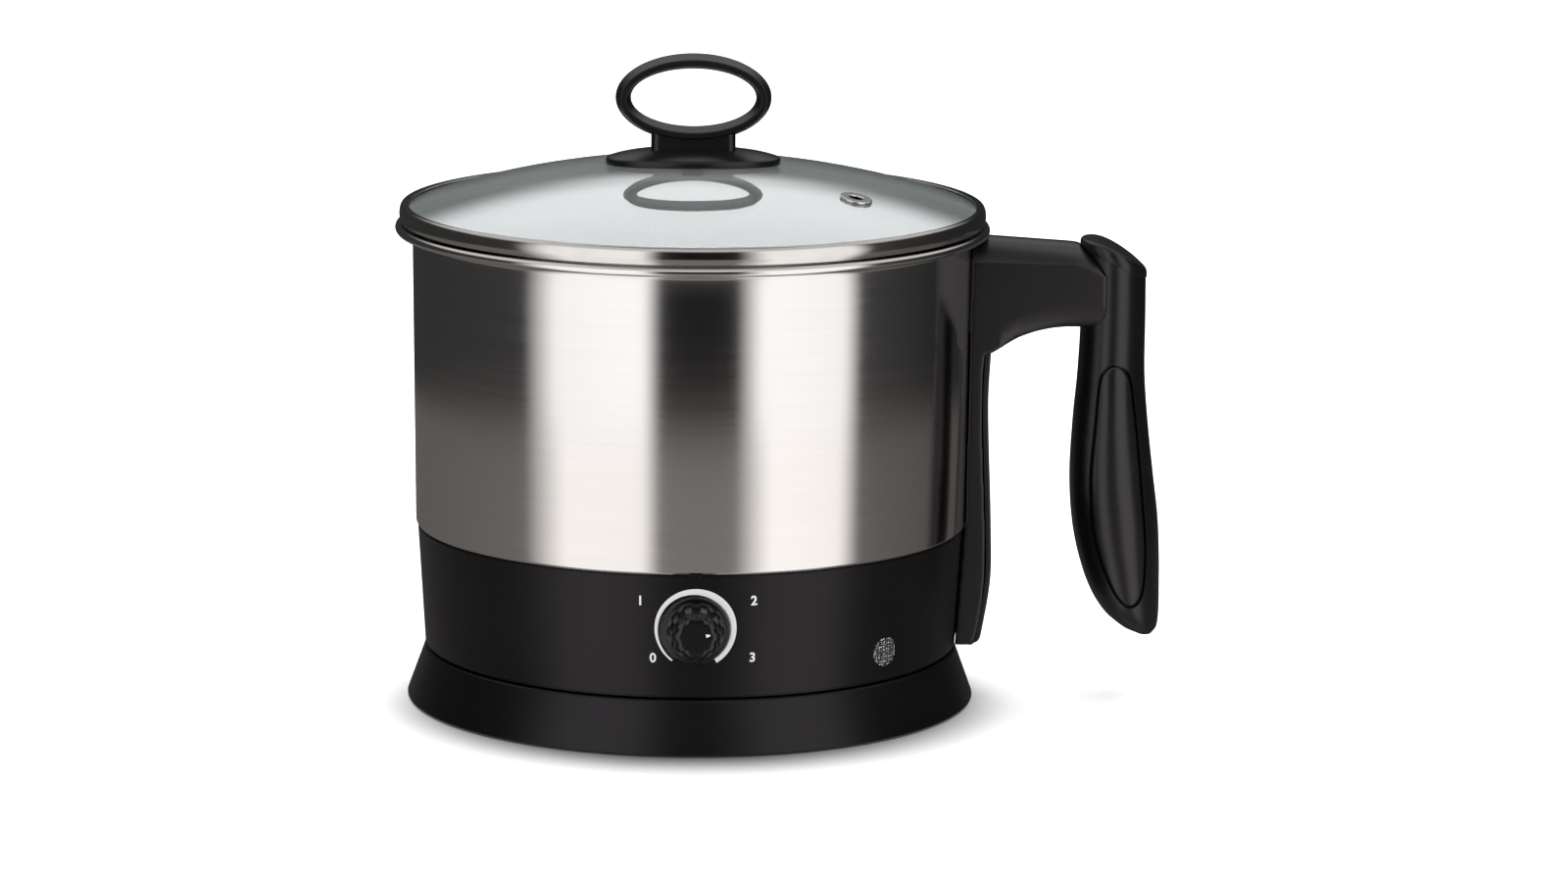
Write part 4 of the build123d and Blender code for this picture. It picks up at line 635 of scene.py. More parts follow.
# ---------------- indicator lamp
# A clear round lens with a waffle of small moulded pyramids snaps into the housing from inside.
# A neon lamp in its sleeve sits behind it. The lens's colour has painted light in it: white
# glints on the pyramids and painted dark shade between them.
lens_clear, tree, shader = blank_material("waffle_lens")
LENS_R, LENS_TILES, LENS_FACE, LENS_BACK = 3.95, 8, 73.05, 70.3
where = add(tree, "ShaderNodeTexCoord").outputs["Object"]
lens_place = (lens_way.x * 0.0734, lens_way.y * 0.0734, LENS_Z * MM)
centring = {"Vector": where, "Location": lens_place, "Rotation": (0, 0, LENS_TURN)}
turned_in = add(tree, "ShaderNodeMapping", centring, vector_type="TEXTURE")
tiles = {"Vector": turned_in.outputs[0], "Scale": 1500.0, "Randomness": 0.25}
spots = add(tree, "ShaderNodeTexVoronoi", tiles)
# Painted glints and shade: white where each pyramid's middle would catch the light, dark between them.
painted_glints_on_shade = colour_ramp(tree, spots.outputs["Distance"], ((0.28, grey(255)), (0.52, grey(14))))
skin = use_group(tree, grain, Grain_per_metre=2600.0, Shine=0.14, Shine_swing=0.12)
coat(tree, shader, skin, painted_glints_on_shade, 0.000008)
shader.inputs["Transmission Weight"].default_value = 0.25
shader.inputs["IOR"].default_value = 1.49
lens_spin = lens_way.to_track_quat("Z", "Y").to_matrix()
verts, faces = [], []
cells = 8 * LENS_TILES
for i in range(cells + 1):
    for j in range(cells + 1):
        u, v = 2 * i / cells - 1, 2 * j / cells - 1
        x, y = u * sqrt(1 - v * v / 2), v * sqrt(1 - u * u / 2)
        rim = 1 - max(abs(u), abs(v))
        tile_u, tile_v = (u * 0.5 * LENS_TILES) % 1.0, (v * 0.5 * LENS_TILES) % 1.0
        peak = 1 - 2 * max(abs(tile_u - 0.5), abs(tile_v - 0.5))
        lift = 0.34 * peak if rim > 0.1 else 0.30 - 2.2 * (0.1 - rim)
        verts.append(tuple(lens_spin @ Vector((LENS_R * x, LENS_R * y, LENS_FACE + lift)) + lens_up))
for i in range(cells):
    for j in range(cells):
        a = i * (cells + 1) + j
        faces.append((a, a + cells + 1, a + cells + 2, a + 1))
edge = [i * (cells + 1) for i in range(cells)] + [cells * (cells + 1) + j for j in range(cells)]
edge += [(cells - i) * (cells + 1) + cells for i in range(cells)] + [cells - j for j in range(cells)]
start = len(verts)
for k in edge:
    spot = lens_spin.transposed() @ (Vector(verts[k]) - lens_up)
    spot.z = LENS_BACK
    verts.append(tuple(lens_spin @ spot + lens_up))
for k in range(len(edge)):
    ahead = (k + 1) % len(edge)
    faces.append((edge[k], edge[ahead], start + ahead, start + k))
faces.append(tuple(range(start, len(verts))))
lens = mesh_piece("indicator_lens_moulding", verts, faces, lens_clear, sharp=20.0)
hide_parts("indicator_lens")
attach(lens, "kettle")
neon_glass = moulding("neon_lamp_glass", 190, 205, 0.2, 0.1, 0.000004, warm=6.0)
dressed("neon_lamp", neon_glass)

# ---------------- vessel
# The vessel is drawn from one steel sheet. Its wall steps in above the housing, flares out at the
# top and ends in a rolled bead. The wall is brushed round the pot, and the bead is polished.
def arc(middle, radius, first, last, steps):
    """Points of an outline along an arc, from one angle in degrees to another."""
    angles = [radians(first + (last - first) * k / steps) for k in range(steps + 1)]
    return [Vector((middle[0] + radius * cos(a), middle[1] + radius * sin(a))) for a in angles]


WALL_LOW, WALL_TOP = 75.115, 126.8
FLARE_MID, FLARE_END, BEAD_MID = (78.1, WALL_TOP), 101.25, (79.3, 129.4)
VESSEL_LOW = (
    (0, 43.1, 0), (73.2, 43.1, 2.5), (73.2, 48.55, 0.1), (74.7, 48.55, 0.3), (75.06, 49.1, 0.4),
    (75.1, 50.2, 0.5), (WALL_LOW, 52.0, 0.4), (75.9, WALL_TOP, 0),
)
VESSEL_IN = (
    (75.1, WALL_TOP, 0), (74.3, 51.4, 0.8), (72.4, 50.4, 0.8), (72.4, 43.9, 1.7), (0, 43.9, 0),
)
vessel_outline = rounded(VESSEL_LOW, closed=False)[:-1]
vessel_outline += [Vector((WALL_LOW + 0.785 * k / 12, 52.4 + 74.0 * k / 12)) for k in range(1, 12)]
vessel_outline += arc(FLARE_MID, 2.2, 180, FLARE_END, 7) + arc(BEAD_MID, 1.3, -160, 160, 28)
vessel_outline += arc(FLARE_MID, 3.0, FLARE_END, 180, 7)
vessel_outline += rounded(VESSEL_IN, closed=False)[1:]

# Brushing: long fine scratches round the pot, some deeper than others.
brushing, given, result = shader_group(
    "brushed lines",
    (("Lines per metre", 2600.0), ("Round per metre", 14.0), ("Shine", 0.2), ("Shine swing", 0.1)),
    ("Height", "Roughness"),
)
where = add(brushing, "ShaderNodeTexCoord").outputs["Object"]
split = add(brushing, "ShaderNodeSeparateXYZ", {0: where}).outputs
lines = []
for fineness in (1.0, 0.37, 0.11):
    tall = sums(brushing, "MULTIPLY", given["Lines per metre"], fineness)
    rates = {"X": given["Round per metre"], "Y": given["Round per metre"], "Z": tall}
    pulled = {axis: sums(brushing, "MULTIPLY", split[axis], rate) for axis, rate in rates.items()}
    stretched = add(brushing, "ShaderNodeCombineXYZ", pulled).outputs[0]
    line = add(brushing, "ShaderNodeTexNoise", {"Vector": stretched, "Scale": 1.0, "Detail": 2.0})
    lines.append(line.outputs["Fac"])
mixed = sums(brushing, "ADD", lines[0], sums(brushing, "ADD", lines[1], lines[2]))
mixed = sums(brushing, "DIVIDE", mixed, 3.0)
brushing.links.new(mixed, result["Height"])
swing = swung(brushing, mixed, given["Shine swing"])
brushing.links.new(sums(brushing, "ADD", given["Shine"], swing), result["Roughness"])

brushed_steel, tree, shader = blank_material("brushed_steel")
skin = use_group(tree, brushing, Shine=0.12, Shine_swing=0.09)
steels = two_tone(tree, skin["Height"], (0.675, 0.652, 0.640, 1), (0.712, 0.690, 0.678, 1))
coat(tree, shader, skin, steels, 0.0000012)
shader.inputs["Metallic"].default_value = 1.0
shader.inputs["Anisotropic"].default_value = 0.3
grainway = add(tree, "ShaderNodeTangent", direction_type="RADIAL", axis="Z")
tree.links.new(grainway.outputs[0], shader.inputs["Tangent"])
polished_steel = metal(
    "polished_steel", (0.70, 0.695, 0.685), (0.77, 0.765, 0.755), 0.09, 0.05, 0.0000012, 900.0
)
vessel = turned("steel_vessel", vessel_outline, brushed_steel, steps=384, closed=False)
vessel.data.materials.append(polished_steel)
for face in vessel.data.polygons:
    if max(vessel.data.vertices[i].co.z for i in face.vertices) > (WALL_TOP + 0.1) * MM:
        face.material_index = 1
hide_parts("pot_vessel")
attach(vessel, "kettle")

# ---------------- handle: bracket, frame, strap
# A steel bracket is welded to the wall. The frame is one thick black moulding, a strap down the
# wall and an arm over the fingers, and a thin cover strip is pressed over the strap's face.
ARM_TOP, STRAP_Z, STRAP_X, HANDLE_HALF, FOOT_R = 127.4, 15.8, 80.3, 11.5, 2.6
ARCH_FROM, ARCH_LOW, ARCH_RISE, ARCH_SPAN, UNDER_R, UNDER_TALL = 83.3, 98.0, 5.5, 22.4, 3.6, 7.0
handle_plastic = moulding("black_handle_plastic", 9, 13, 0.32, 0.10, 0.000014, specular=0.52)
dressed("handle_bracket", screw_steel)
dressed("handle_screws", screw_steel)


def foot_inset(z):
    """How far the strap's rounded foot pulls its outer face in at a height."""
    return FOOT_R - sqrt(max(0.0, FOOT_R ** 2 - max(0.0, STRAP_Z + FOOT_R - z) ** 2))


# The edges are rounded off on a merged copy of the node, which is remeshed finely and relaxed.
handle_frame = in_scene("handle_frame_moulding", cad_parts["handle_frame"].data.copy())
settle(handle_frame, outward=False)
fine = handle_frame.modifiers.new("grid", "REMESH")
fine.mode = "VOXEL"
fine.voxel_size = 0.42 * MM
fine.use_smooth_shade = True
relax = handle_frame.modifiers.new("relax", "SMOOTH")
relax.iterations = 6
relax.factor = 0.5
handle_frame = made_plain(handle_frame, "handle_frame_moulding")
handle_frame.data.materials.clear()
handle_frame.data.materials.append(handle_plastic)
for face in handle_frame.data.polygons:
    face.material_index = 0
settle(handle_frame, sharp=70.0, outward=False)
for vert in handle_frame.data.vertices:
    x, y, z = (c / MM for c in vert.co)
    under = z - (ARCH_LOW + ARCH_RISE * sin(0.5 * pi * min(1.0, max(0.0, (x - ARCH_FROM) / ARCH_SPAN))))
    if x > ARCH_FROM and 0 <= under < UNDER_TALL:
        near = min(1.0, (x - ARCH_FROM) / 5.0)
        room = HANDLE_HALF - UNDER_R * near * (1 - sqrt(1 - (1 - under / UNDER_TALL) ** 2))
        y = min(max(y, -room), room)
    if x > 80.0 and z > 120.0:
        z -= 1.8 * min(1.0, (x - 80.0) / 25.7) * min(1.0, (z - 120.0) / 6.0)
    if z < STRAP_Z + FOOT_R:
        x = min(x, 78.9 - foot_inset(z))
    vert.co = Vector((x, y, z)) * MM
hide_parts("handle_frame")
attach(handle_frame, "kettle")

strap_line = ((96.5, 0.5), (82.5, 0.0), (48.3, 1.2), (33.7, 1.2), (15.8, -1.6))


def eased(stops, at):
    """A smooth value at a place from (place, value) stops in falling or rising order."""
    line = sorted(stops)
    at = min(max(at, line[0][0]), line[-1][0])
    for i in range(len(line) - 1):
        if at <= line[i + 1][0]:
            break
    x0, x1 = line[i][0], line[i + 1][0]
    y0, y1 = line[i][1], line[i + 1][1]
    m0 = (y1 - line[i - 1][1]) / (x1 - line[i - 1][0]) if i else (y1 - y0) / (x1 - x0)
    m1 = (line[i + 2][1] - y0) / (line[i + 2][0] - x0) if i + 2 < len(line) else (y1 - y0) / (x1 - x0)
    t = (at - x0) / (x1 - x0)
    h = x1 - x0
    return (
        (2 * t ** 3 - 3 * t ** 2 + 1) * y0 + (t ** 3 - 2 * t ** 2 + t) * h * m0
        + (3 * t ** 2 - 2 * t ** 3) * y1 + (t ** 3 - t ** 2) * h * m1
    )


def lofted(name, loops, material, sharp=38.0):
    """A closed skin through loops of equal length, with a flat face on each end."""
    count, top = len(loops[0]), (len(loops) - 1) * len(loops[0])
    verts = [tuple(p) for loop in loops for p in loop]
    ends = [tuple(range(count))[::-1], tuple(range(top, top + count))]
    return mesh_piece(name, verts, bands(len(loops), count) + ends, material, sharp)


strip_corners = (
    (0, -HANDLE_HALF, 0.5), (0, HANDLE_HALF, 0.5), (-1.5, HANDLE_HALF, 0.1), (-1.5, -HANDLE_HALF, 0.1),
)
strip_section = rounded(strip_corners, facets=4)
COVER_TOP, COVER_ROWS = 96.5, 80
loops = []
for k in range(COVER_ROWS + 1):
    z = COVER_TOP + (STRAP_Z - COVER_TOP) * k / COVER_ROWS
    foot = foot_inset(z)
    face_x, thin = STRAP_X + eased(strap_line, z), 1 - 0.85 * foot / FOOT_R
    loops.append([(face_x + p[0] * thin - foot, p[1], z) for p in strip_section])
strap_cover = lofted("strap_cover_strip", loops, handle_plastic)
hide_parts("strap_cover")
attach(strap_cover, "kettle")

# ---------------- handle: grip
# The grip column is a hollow black moulding of oval section that swells and sweeps outwards at
# its lower end. On each side a soft grey inlay sits in a pocket with a thin gap all round.
GRIP_IN, GRIP_MID, GRIP_WIDE, GRIP_DEEP, TIP_Z, GRIP_TALL = 105.7, 114.52, 17.7, 23.2, 17.2, 110.2
grip_table = (
    (1.000, 0.011, 0.000, 1.000), (0.785, 0.006, 0.006, 1.000), (0.659, -0.028, 0.011, 1.017),
    (0.538, -0.090, 0.073, 1.069), (0.408, -0.124, 0.169, 1.121), (0.300, -0.085, 0.254, 1.155),
    (0.210, 0.017, 0.288, 1.155), (0.120, 0.203, 0.299, 1.086), (0.058, 0.435, 0.299, 0.914),
    (0.017, 0.729, 0.271, 0.621), (0.000, 0.955, 0.198, 0.345),
)


def grip_oval(height):
    """Middle and half axes of the grip's oval at a share of its height, in millimetres."""
    inner, outer, depth = (eased([(row[0], row[i]) for row in grip_table], height) for i in (1, 2, 3))
    wide = GRIP_WIDE * (1 + outer - inner) / 2
    return GRIP_MID + GRIP_WIDE * (inner + outer) / 2, wide, depth * GRIP_DEEP / 2


def grip_side(x, z):
    """How far the grip's skin stands out from the handle's middle plane at (x, z)."""
    middle, wide, deep = grip_oval((z - TIP_Z) / GRIP_TALL)
    return deep * sqrt(max(0.0, 1 - ((x - middle) / wide) ** 2))


CAP_SLOPE, CAP_THICK, CAP_OVER, CAP_CROWN = radians(27.5), 2.2, 0.25, 1.25


def cap_height(x, drop):
    """Height of the cap's sloping plane over x, lowered by drop."""
    sag = 1.3 * (max(0.0, GRIP_MID - x) / 9.1) ** 2
    return ARM_TOP - 4.1 - drop - sag - tan(CAP_SLOPE) * (x - GRIP_MID)


AROUND = 160
heights = sorted({0.002, 0.009, 0.013} | {round(k / 200, 5) for k in range(201)})
loops = []
for h in heights:
    middle, wide, deep = grip_oval(h)
    ring = []
    for a in all_round(AROUND):
        x = middle + wide * cos(a)
        top = cap_height(x, CAP_THICK / cos(CAP_SLOPE) + 0.05)
        ring.append((x, deep * sin(a), min(TIP_Z + GRIP_TALL * h, top - (1 - h) * 1e-3)))
    loops.append(ring)
grip = lofted("grip_moulding", loops, handle_plastic, sharp=50.0)

inlay_marks = (
    (0.486, 0.692), (0.655, 0.680), (0.746, 0.650), (0.808, 0.582), (0.898, 0.460), (0.977, 0.326),
    (1.023, 0.228), (1.000, 0.134), (0.915, 0.093), (0.763, 0.084), (0.593, 0.108), (0.446, 0.152),
    (0.305, 0.213), (0.198, 0.286), (0.153, 0.382), (0.158, 0.443), (0.209, 0.540), (0.260, 0.641),
    (0.328, 0.676),
)
INLAY_STEPS = 144


def inlay_loop(spread):
    """The inlay's smooth outline on the handle's middle plane, widened by spread."""
    marks = [Vector((GRIP_IN + u * GRIP_WIDE, TIP_Z + v * GRIP_TALL)) for u, v in inlay_marks]
    points = []
    for k in range(INLAY_STEPS):
        t = len(marks) * k / INLAY_STEPS
        i = int(t)
        t -= i
        a, b, c, d = (marks[(i + j) % len(marks)] for j in (-1, 0, 1, 2))
        bend, twist = 2 * a - 5 * b + 4 * c - d, 3 * b - a - 3 * c + d
        points.append(0.5 * (2 * b + (c - a) * t + bend * t ** 2 + twist * t ** 3))
    wider = []
    for k in range(INLAY_STEPS):
        way = points[(k + 1) % INLAY_STEPS] - points[k - 1]
        wider.append(points[k] + Vector((-way.y, way.x)).normalized() * spread)
    return wider


middle = sum(inlay_loop(0.0), Vector((0, 0))) / INLAY_STEPS


def inlay_skin(name, spread, lifts, material, side):
    """A pad over the inlay's outline, in rings of (inset, lift), where an inset from 2 up is 2 and a
    share of the way to the middle."""
    verts = []
    loop = inlay_loop(spread)
    for inset, lift in lifts:
        for p in loop:
            inwards = middle - p
            q = p + (inwards.normalized() * inset if inset < 2.0 else inwards * (inset - 2.0))
            verts.append((q.x, side * (grip_side(q.x, q.y) + lift), q.y))
    ends = [tuple(range(INLAY_STEPS)), tuple(range(len(verts) - INLAY_STEPS, len(verts)))]
    return mesh_piece(name, verts, bands(len(lifts), INLAY_STEPS) + ends, material, 45.0)


pocket_rings = [
    (2.97, -1.2), (2.6, -1.2), (2.3, -1.2), (0.0, -1.2), (0.0, 1.5), (2.5, 1.5), (2.97, 1.5),
]
both_sides = (("near", -1), ("far", 1))
cutters = [
    inlay_skin("pocket_" + word, 0.3, pocket_rings, None, side) for word, side in both_sides[::-1]
]
grip = carved(grip, cutters, sharp=50.0)
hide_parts("grip_shell")
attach(grip, "kettle")

soft_grey = moulding("soft_grip_inlay", 15, 20, 0.30, 0.10, 0.00002, per_metre=2200.0, specular=0.5)
pad_rings = [
    (2.97, -1.1), (2.5, -1.1), (0.0, -1.1), (0.0, -0.75), (0.05, -0.5), (0.17, -0.28), (0.36, -0.12),
    (0.62, 0.0), (0.95, 0.06), (1.35, 0.11), (2.3, 0.24), (2.45, 0.31), (2.6, 0.36), (2.75, 0.39),
    (2.88, 0.40), (2.97, 0.40),
]
inlays = [
    inlay_skin("grip_inlay_" + word, -0.25, pad_rings, soft_grey, side) for word, side in both_sides
]
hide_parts("grip_inlays")
for inlay in inlays:
    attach(inlay, "kettle")

# ---------------- handle: cap
# A thick oval cap of the same black plastic closes the grip's sloping top and hides its screw.
loops = []
for inset, drop in (
    (7.0, 2.2), (3.0, 2.2), (0.12, 2.2), (0.0, 2.08), (0.0, 0.8), (0.06, 0.5), (0.23, 0.23),
    (0.5, 0.06), (0.8, 0.0), (1.3, -0.01), (3.0, -0.04), (5.0, -0.06), (7.0, -0.07),
):
    ring = []
    for a in all_round(AROUND):
        x = GRIP_MID + (GRIP_WIDE / 2 + CAP_OVER - inset) * cos(a)
        y = (GRIP_DEEP / 2 + CAP_OVER - inset) * sin(a)
        along = min(1.0, abs(x - GRIP_MID) / (GRIP_WIDE / 2 + CAP_OVER))
        swell = CAP_CROWN * (1 - along ** 2) * (1 - max(0.0, drop) / CAP_THICK)
        ring.append((x, y, cap_height(x, drop / cos(CAP_SLOPE) - swell)))
    loops.append(ring)
cap_plastic = moulding("cap_plastic", 13, 18, 0.30, 0.10, 0.00001)
cap = lofted("handle_cap_moulding", loops, cap_plastic)
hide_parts("handle_cap")
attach(cap, "kettle")

# ---------------- lid: rim and glass
# The lid is a pressed dome of tempered glass, faintly green at its edge, held in a rolled steel
# rim. The rim's inner skirt drops inside the vessel and keeps the lid in its place.
RIM_START = ((74.3, 125.0, 0.15), (74.3, 131.0, 0.3), (78.75, 131.05, 0.0))
RIM_CLOSE = (
    (77.9, 135.85, 0.0), (76.9, 135.62, 0.15), (76.9, 135.2, 0.15), (78.3, 135.3, 0.5),
    (78.6, 131.5, 0.1), (73.9, 131.4, 0.1), (73.9, 125.0, 0.0),
)
rim_stops = rounded(RIM_START, closed=False)
rim_stops += arc((73.55, 133.2), 5.95, -19, 17, 12) + arc((78.12, 134.78), 1.08, 25, 95, 7)
rim_stops += rounded(RIM_CLOSE, closed=False)
rim_steel = metal(
    "satin_rim_steel", (0.57, 0.55, 0.53), (0.62, 0.60, 0.58), 0.12, 0.05, 0.0000012, 900.0
)
lid_rim = turned("lid_rim_pressing", rim_stops, rim_steel, steps=360)
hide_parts("lid_rim")
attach(lid_rim, "lid")

EDGE_R, EDGE_TOP, RISE, THICK, HOLE_R = 78.1, 134.5, 13.25, 3.0, 3.0
DOME_R = (EDGE_R ** 2 + RISE ** 2) / (2 * RISE)
APEX = EDGE_TOP + RISE
CENTRE_Z = APEX - DOME_R


def dome(r, drop=0.0):
    """Height of the glass's outer face at a distance from the axis, lowered by drop."""
    return CENTRE_Z + sqrt(DOME_R ** 2 - r * r) - drop


stops = [HOLE_R + (EDGE_R - 0.3 - HOLE_R) * k / 40 for k in range(41)]
edge_stops = ((0.09, 0.06), (0.0, 0.3), (0.0, 2.7), (0.09, 2.94))
glass_outline = [Vector((r, dome(r))) for r in stops]
glass_outline += [Vector((EDGE_R - inset, dome(EDGE_R, drop))) for inset, drop in edge_stops]
glass_outline += [Vector((r, dome(r, THICK))) for r in reversed(stops)]
lid_pane, tree, shader = blank_material("lid_glass")
skin = use_group(tree, plating, Lines_per_metre=30.0, Shine=0.025, Wear=0.02)
coat(tree, shader, skin, two_tone(tree, skin["Patch"], (0.94, 0.975, 0.955, 1), (0.96, 0.985, 0.97, 1)))
shader.inputs["Transmission Weight"].default_value = 0.935
shader.inputs["IOR"].default_value = 1.5
lid_glass = turned("lid_glass_dome", glass_outline, lid_pane, steps=288)
VENT_R, vent_turn = 53.5, radians(-37.0)
vent_tilt = asin(VENT_R / DOME_R)
vent_way = Vector((sin(vent_tilt) * cos(vent_turn), sin(vent_tilt) * sin(vent_turn), cos(vent_tilt)))
vent_top = Vector((0, 0, CENTRE_Z)) + vent_way * DOME_R
vent_bore = bore("vent_bore", 2.6, 12.0, vent_top - vent_way * 8.0, vent_way, steps=72)
lid_glass = carved(lid_glass, [vent_bore])
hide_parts("lid_glass")
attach(lid_glass, "lid")

# ---------------- lid: steam vent
# The steam vent is a polished steel eyelet, pressed through the glass and rolled over below it.
EYELET = (
    (1.8, 0.75, 0.35), (4.35, 0.75, 0.35), (4.35, 0.05, 0.1), (2.5, 0.05, 0.05), (2.5, -3.2, 0.05),
    (3.65, -3.2, 0.1), (3.65, -3.9, 0.3), (1.8, -3.9, 0.2),
)
eyelet = turned("vent_eyelet", rounded(EYELET, facets=8), polished_steel, steps=128)
vent_lean = vent_way.to_track_quat("Z", "Y").to_matrix().to_4x4()
eyelet.data.transform(Matrix.Translation(vent_top * MM) @ vent_lean)
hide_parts("vent_grommet")
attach(eyelet, "lid")

# ---------------- lid: knob
# The knob is black plastic in two pieces, an oval foot that follows the glass, and a flat ring on
# a short neck. A screw with a steel washer pulls both down on a thin silicone gasket.
knob_satin = moulding("black_lid_knob_plastic", 11, 16, 0.32, 0.10, 0.000012, specular=0.45)
FOOT_A, FOOT_B = 23.6, 15.0
foot_rows = (
    (12.0, 0.1), (6.0, 0.1), (1.0, 0.1), (0.15, 0.1), (0.0, 0.25), (0.0, 1.0), (0.0, 1.27),
    (0.05, 1.51), (0.18, 1.72), (0.39, 1.87), (0.63, 1.95), (0.9, 2.0), (2.0, 2.25), (4.0, 2.6),
    (6.5, 2.9), (9.0, 3.05), (12.0, 3.1),
)
loops = []
for inset, lift in foot_rows:
    ring = []
    for a in all_round(AROUND):
        spot = Vector(((FOOT_A - inset) * cos(a), (FOOT_B - inset) * sin(a)))
        ring.append((spot.x, spot.y, dome(spot.length) + lift))
    loops.append(ring)
knob_foot = lofted("lid_knob_foot", loops, knob_satin)
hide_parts("lid_knob_base")
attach(knob_foot, "lid")

RING_A, RING_B, RING_Z = 19.0, 9.9, APEX + 1.9 + 15.0
RING_CORNERS = (
    (-5.0, -0.8, 0.35), (0.0, -2.2, 2.4), (5.0, -0.8, 0.35), (5.0, 0.8, 0.35), (0.0, 2.2, 2.4),
    (-5.0, 0.8, 0.35),
)
ring_section = rounded(RING_CORNERS)
RING_STEPS = 256
verts = [
    ((RING_A + out) * cos(a), y, RING_Z + (RING_B + out) * sin(a))
    for a in all_round(RING_STEPS)
    for y, out in ring_section
]
ring_faces = bands(RING_STEPS, len(ring_section), closed=True)
knob_ring = mesh_piece("lid_knob_ring", verts, ring_faces, knob_satin)
NECK = ((-11.4, -4.0, 2.0), (11.4, -4.0, 2.0), (11.4, 4.0, 2.0), (-11.4, 4.0, 2.0))
neck_rows = ((0.0, 0), (0.6, 0.35), (1.2, 0.62), (1.8, 0.8), (2.4, 0.9), (3.0, 1.0))
loops = []
for level, share in neck_rows:
    flat = 1 + 0.02 * (1 - share)
    section = []
    for x, y in rounded(NECK, facets=8):
        lift = dome(sqrt(x * x + y * y)) + 2.4 + level * 0.1
        if level == 3.0:
            lift = RING_Z - RING_B * sqrt(max(0.0, 1 - (x / RING_A) ** 2)) - 0.9
        section.append((x * flat, y * flat, lift))
    loops.append(section)
neck = lofted("lid_knob_neck", loops, knob_satin)
knob_ring = carved(knob_ring, [neck], "UNION")
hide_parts("lid_knob")
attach(knob_ring, "lid")
dressed("knob_gasket", silicone)
dressed("knob_washer", screw_steel)
dressed("knob_screw", screw_steel)

# ---------------- floor, light and camera
# A white sweep under soft light, with a soft contact shadow painted into its colour round the base.
# A tall curved card round the set, which only shows as a reflection, carries two bright panels
# with a dark gap between them, so that the steel has form.
white_floor, tree, shader = blank_material("white_sweep")
skin = use_group(tree, grain, Grain_per_metre=40.0, Shine=0.8, Shine_swing=0.05)


def rising(tree, value, low, high, way="SMOOTHSTEP", **ends):
    """A mask that rises from 0 to 1, or between the given ends, as the value goes from low to high."""
    inputs = {"Value": value, "From Min": low, "From Max": high}
    inputs.update({label.replace("_", " "): end for label, end in ends.items()})
    return add(tree, "ShaderNodeMapRange", inputs, interpolation_type=way).outputs["Result"]


def between(tree, factor, low, high):
    """A colour between two colours or colour sockets."""
    mix = add(tree, "ShaderNodeMix", {"Factor": factor, "A": low, "B": high}, data_type="RGBA")
    return mix.outputs["Result"]


# Painted contact shadow: the floor's colour is dark under the base and fades to white from about 5 to
# 10 cm out from a point 13 mm in front of the axis, so that it reaches further at the front.
where = add(tree, "ShaderNodeTexCoord").outputs["Object"]
pulled = add(tree, "ShaderNodeMapping", {"Vector": where, "Location": (0, 0.013, 0)})
reach = add(tree, "ShaderNodeVectorMath", {0: pulled.outputs[0]}, operation="LENGTH").outputs["Value"]
painted_shadow_fade = rising(tree, reach, 0.052, 0.097, "SMOOTHERSTEP")
floor_tone_with_painted_shadow = between(tree, painted_shadow_fade, (0.02, 0.02, 0.02, 1), (0.93, 0.93, 0.93, 1))
coat(tree, shader, skin, floor_tone_with_painted_shadow)
# The floor also glows faintly in the same colour, painted shadow included, which keeps the open floor
# evenly white.
tree.links.new(floor_tone_with_painted_shadow, shader.inputs["Emission Color"])
shader.inputs["Emission Strength"].default_value = 0.16
shader.inputs["Specular IOR Level"].default_value = 0.0
floor_disc = bmesh.new()
bmesh.ops.create_circle(floor_disc, cap_ends=True, segments=96, radius=6.0)
floor_mesh = bpy.data.meshes.new("floor_sweep")
floor_disc.to_mesh(floor_mesh)
floor_disc.free()
floor_mesh.materials.append(white_floor)
floor = in_scene("floor_sweep", floor_mesh)
floor.visible_glossy = False

CARD_R, CARD_LOW, CARD_HIGH, CARD_STEPS = 0.575, -0.9, 1.6, 180
CARD_TURN, STEEL_SHARE = 1.09 / 360, 0.68
card_round = [(CARD_R * cos(a), CARD_R * sin(a)) for a in all_round(CARD_STEPS)]
verts = [(x, y, z) for z in (CARD_LOW, CARD_HIGH) for x, y in card_round]
card_mesh = bpy.data.meshes.new("light_card")
card_mesh.from_pydata(verts, [], [face[::-1] for face in bands(2, CARD_STEPS)])
card = in_scene("light_card", card_mesh)
card_light = bpy.data.materials.new("light_card")
card_light.use_nodes = True
tree = card_light.node_tree
tree.nodes.clear()
where = add(tree, "ShaderNodeTexCoord").outputs["Object"]
split = add(tree, "ShaderNodeSeparateXYZ", {0: where}).outputs
turned_by = sums(tree, "ARCTAN2", split["X"], sums(tree, "MULTIPLY", split["Y"], -1.0))
share = sums(tree, "ADD", sums(tree, "DIVIDE", turned_by, 2 * pi), 0.5 + CARD_TURN)


def card_ramp(stops, warm=0.0):
    """A dark surround, two bright panels and a gap, as (degrees from the middle, level) stops."""
    marks = []
    for turn, level in stops:
        colour = [c / STEEL_SHARE for c in grey(level, warm)[:3]]
        marks.append((0.5 + turn / 360, colour + [1]))
    return colour_ramp(tree, share, marks)


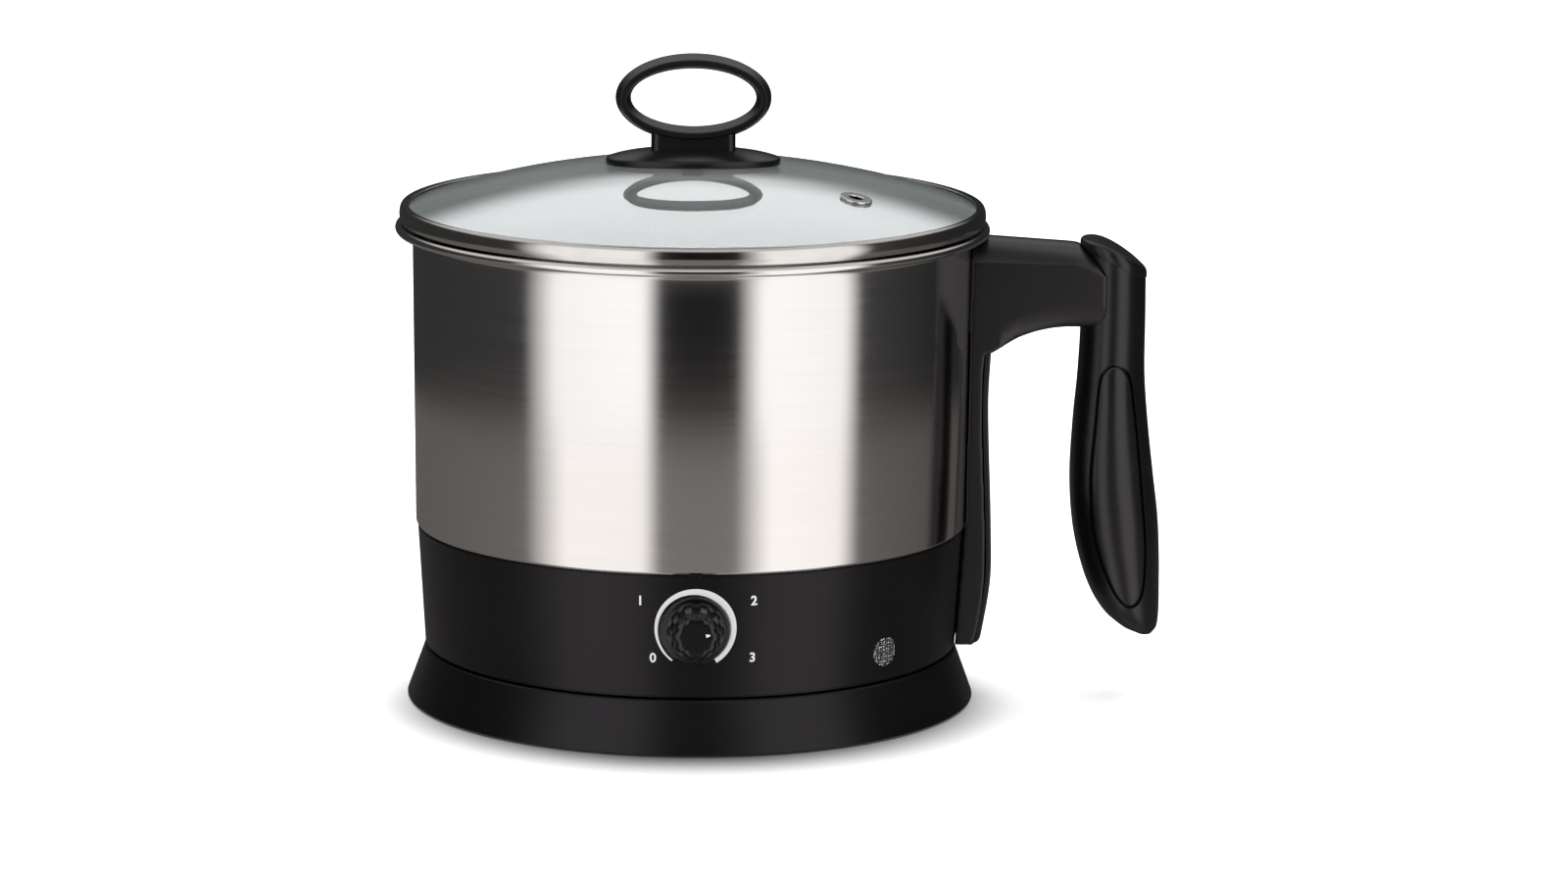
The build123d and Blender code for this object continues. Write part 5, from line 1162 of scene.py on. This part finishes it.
high_card = card_ramp((
    (-179, 42), (-68, 50), (-54, 243), (-18.5, 252), (-12, 22), (17, 22), (27, 251), (61, 243),
    (69, 54), (112, 36), (179, 34),
))
low_card = card_ramp((
    (-179, 74), (-68, 98), (-50, 242), (-18.5, 240), (-12, 110), (17, 110), (31, 248), (60, 240),
    (69, 92), (112, 76), (179, 60),
), 2.0)
mixed = between(tree, rising(tree, split["Z"], -0.028, -0.008), low_card, high_card)
topped = between(tree, rising(tree, split["Z"], 0.30, 0.52), mixed, (0.76, 0.76, 0.76, 1))
glow = add(tree, "ShaderNodeEmission", {"Color": topped})
add(tree, "ShaderNodeOutputMaterial", {"Surface": glow.outputs[0]})
card_mesh.materials.append(card_light)
for sight in ("camera", "diffuse", "shadow", "transmission", "volume_scatter"):
    setattr(card, "visible_" + sight, False)

world = bpy.data.worlds.new("studio")
bpy.context.scene.world = world
world.use_nodes = True
tree = world.node_tree
tree.nodes.clear()
seen = add(tree, "ShaderNodeLightPath").outputs
plain, round_about, through = (
    add(tree, "ShaderNodeBackground", {"Color": colour, "Strength": strength}).outputs[0]
    for colour, strength in (((1, 1, 1, 1), 1.0), ((1, 1, 1, 1), 0.30), ((0.87, 0.985, 0.975, 1), 0.27))
)
inner = add(tree, "ShaderNodeMixShader", {0: seen["Is Transmission Ray"], 1: round_about, 2: through})
choice = add(tree, "ShaderNodeMixShader", {0: seen["Is Camera Ray"], 1: inner.outputs[0], 2: plain})
add(tree, "ShaderNodeOutputWorld", {"Surface": choice.outputs[0]})


def soft_light(name, where, at, size, power, glossy=False):
    """A soft square light that looks at a point, in metres and watts."""
    lamp = bpy.data.lights.new(name, "AREA")
    lamp.size = size
    lamp.energy = power
    obj = in_scene(name, lamp)
    obj.location = where
    obj.rotation_euler = (Vector(at) - Vector(where)).to_track_quat("-Z", "Y").to_euler()
    obj.visible_glossy = glossy
    obj.visible_transmission = False
    return obj


soft_light("overhead", (0.0, 0.45, 1.9), (0, 0.15, 0.0), 2.6, 92.0)
soft_light("left_front", (-1.5, -1.5, 1.2), (0, 0, 0.08), 1.2, 5.0)
soft_light("right_front", (1.6, -1.3, 1.0), (0, 0, 0.08), 1.2, 5.0)

lid_panel = soft_light("lid_panel", (0.0, 0.50, 0.76), (0, 0.0, 0.76), 1.0, 7.7, glossy=True)
lid_panel.visible_camera = False
lid_panel.data.use_nodes = True
tree = lid_panel.data.node_tree
spot = add(tree, "ShaderNodeNewGeometry").outputs["Position"]
height = add(tree, "ShaderNodeSeparateXYZ", {0: spot}).outputs["Z"]
fade = rising(tree, height, 0.30, 0.80, "LINEAR", To_Min=0.72, To_Max=1.95)
glowing = sums(tree, "MULTIPLY", fade, rising(tree, height, 0.27, 0.40))
tree.links.new(glowing, tree.nodes["Emission"].inputs["Strength"])
tree.nodes["Emission"].inputs["Color"].default_value = (0.935, 0.975, 1.0, 1)
lid_only = bpy.data.collections.new("lid_only")
lid_only.objects.link(lid_glass)
lid_panel.light_linking.receiver_collection = lid_only

look = Vector((0.03343, 0.98199, -0.18596)).normalized()
level = look.cross(Vector((0, 0, 1))).normalized()
upright = level.cross(look)
roll = radians(0.524)
right = level * cos(roll) + upright * sin(roll)
up = upright * cos(roll) - level * sin(roll)
lens_data = bpy.data.cameras.new("camera")
lens_data.lens = 143.857
lens_data.sensor_width = 36.0
lens_data.clip_start = 0.05
lens_data.clip_end = 50.0
camera = in_scene("camera", lens_data)
turn = Matrix((right, up, -look)).transposed().to_4x4()
camera.matrix_world = Matrix.Translation((-0.03192, -1.68007, 0.38839)) @ turn
bpy.context.scene.camera = camera
bpy.context.scene.view_settings.view_transform = "Standard"
bpy.context.scene.view_settings.look = "None"
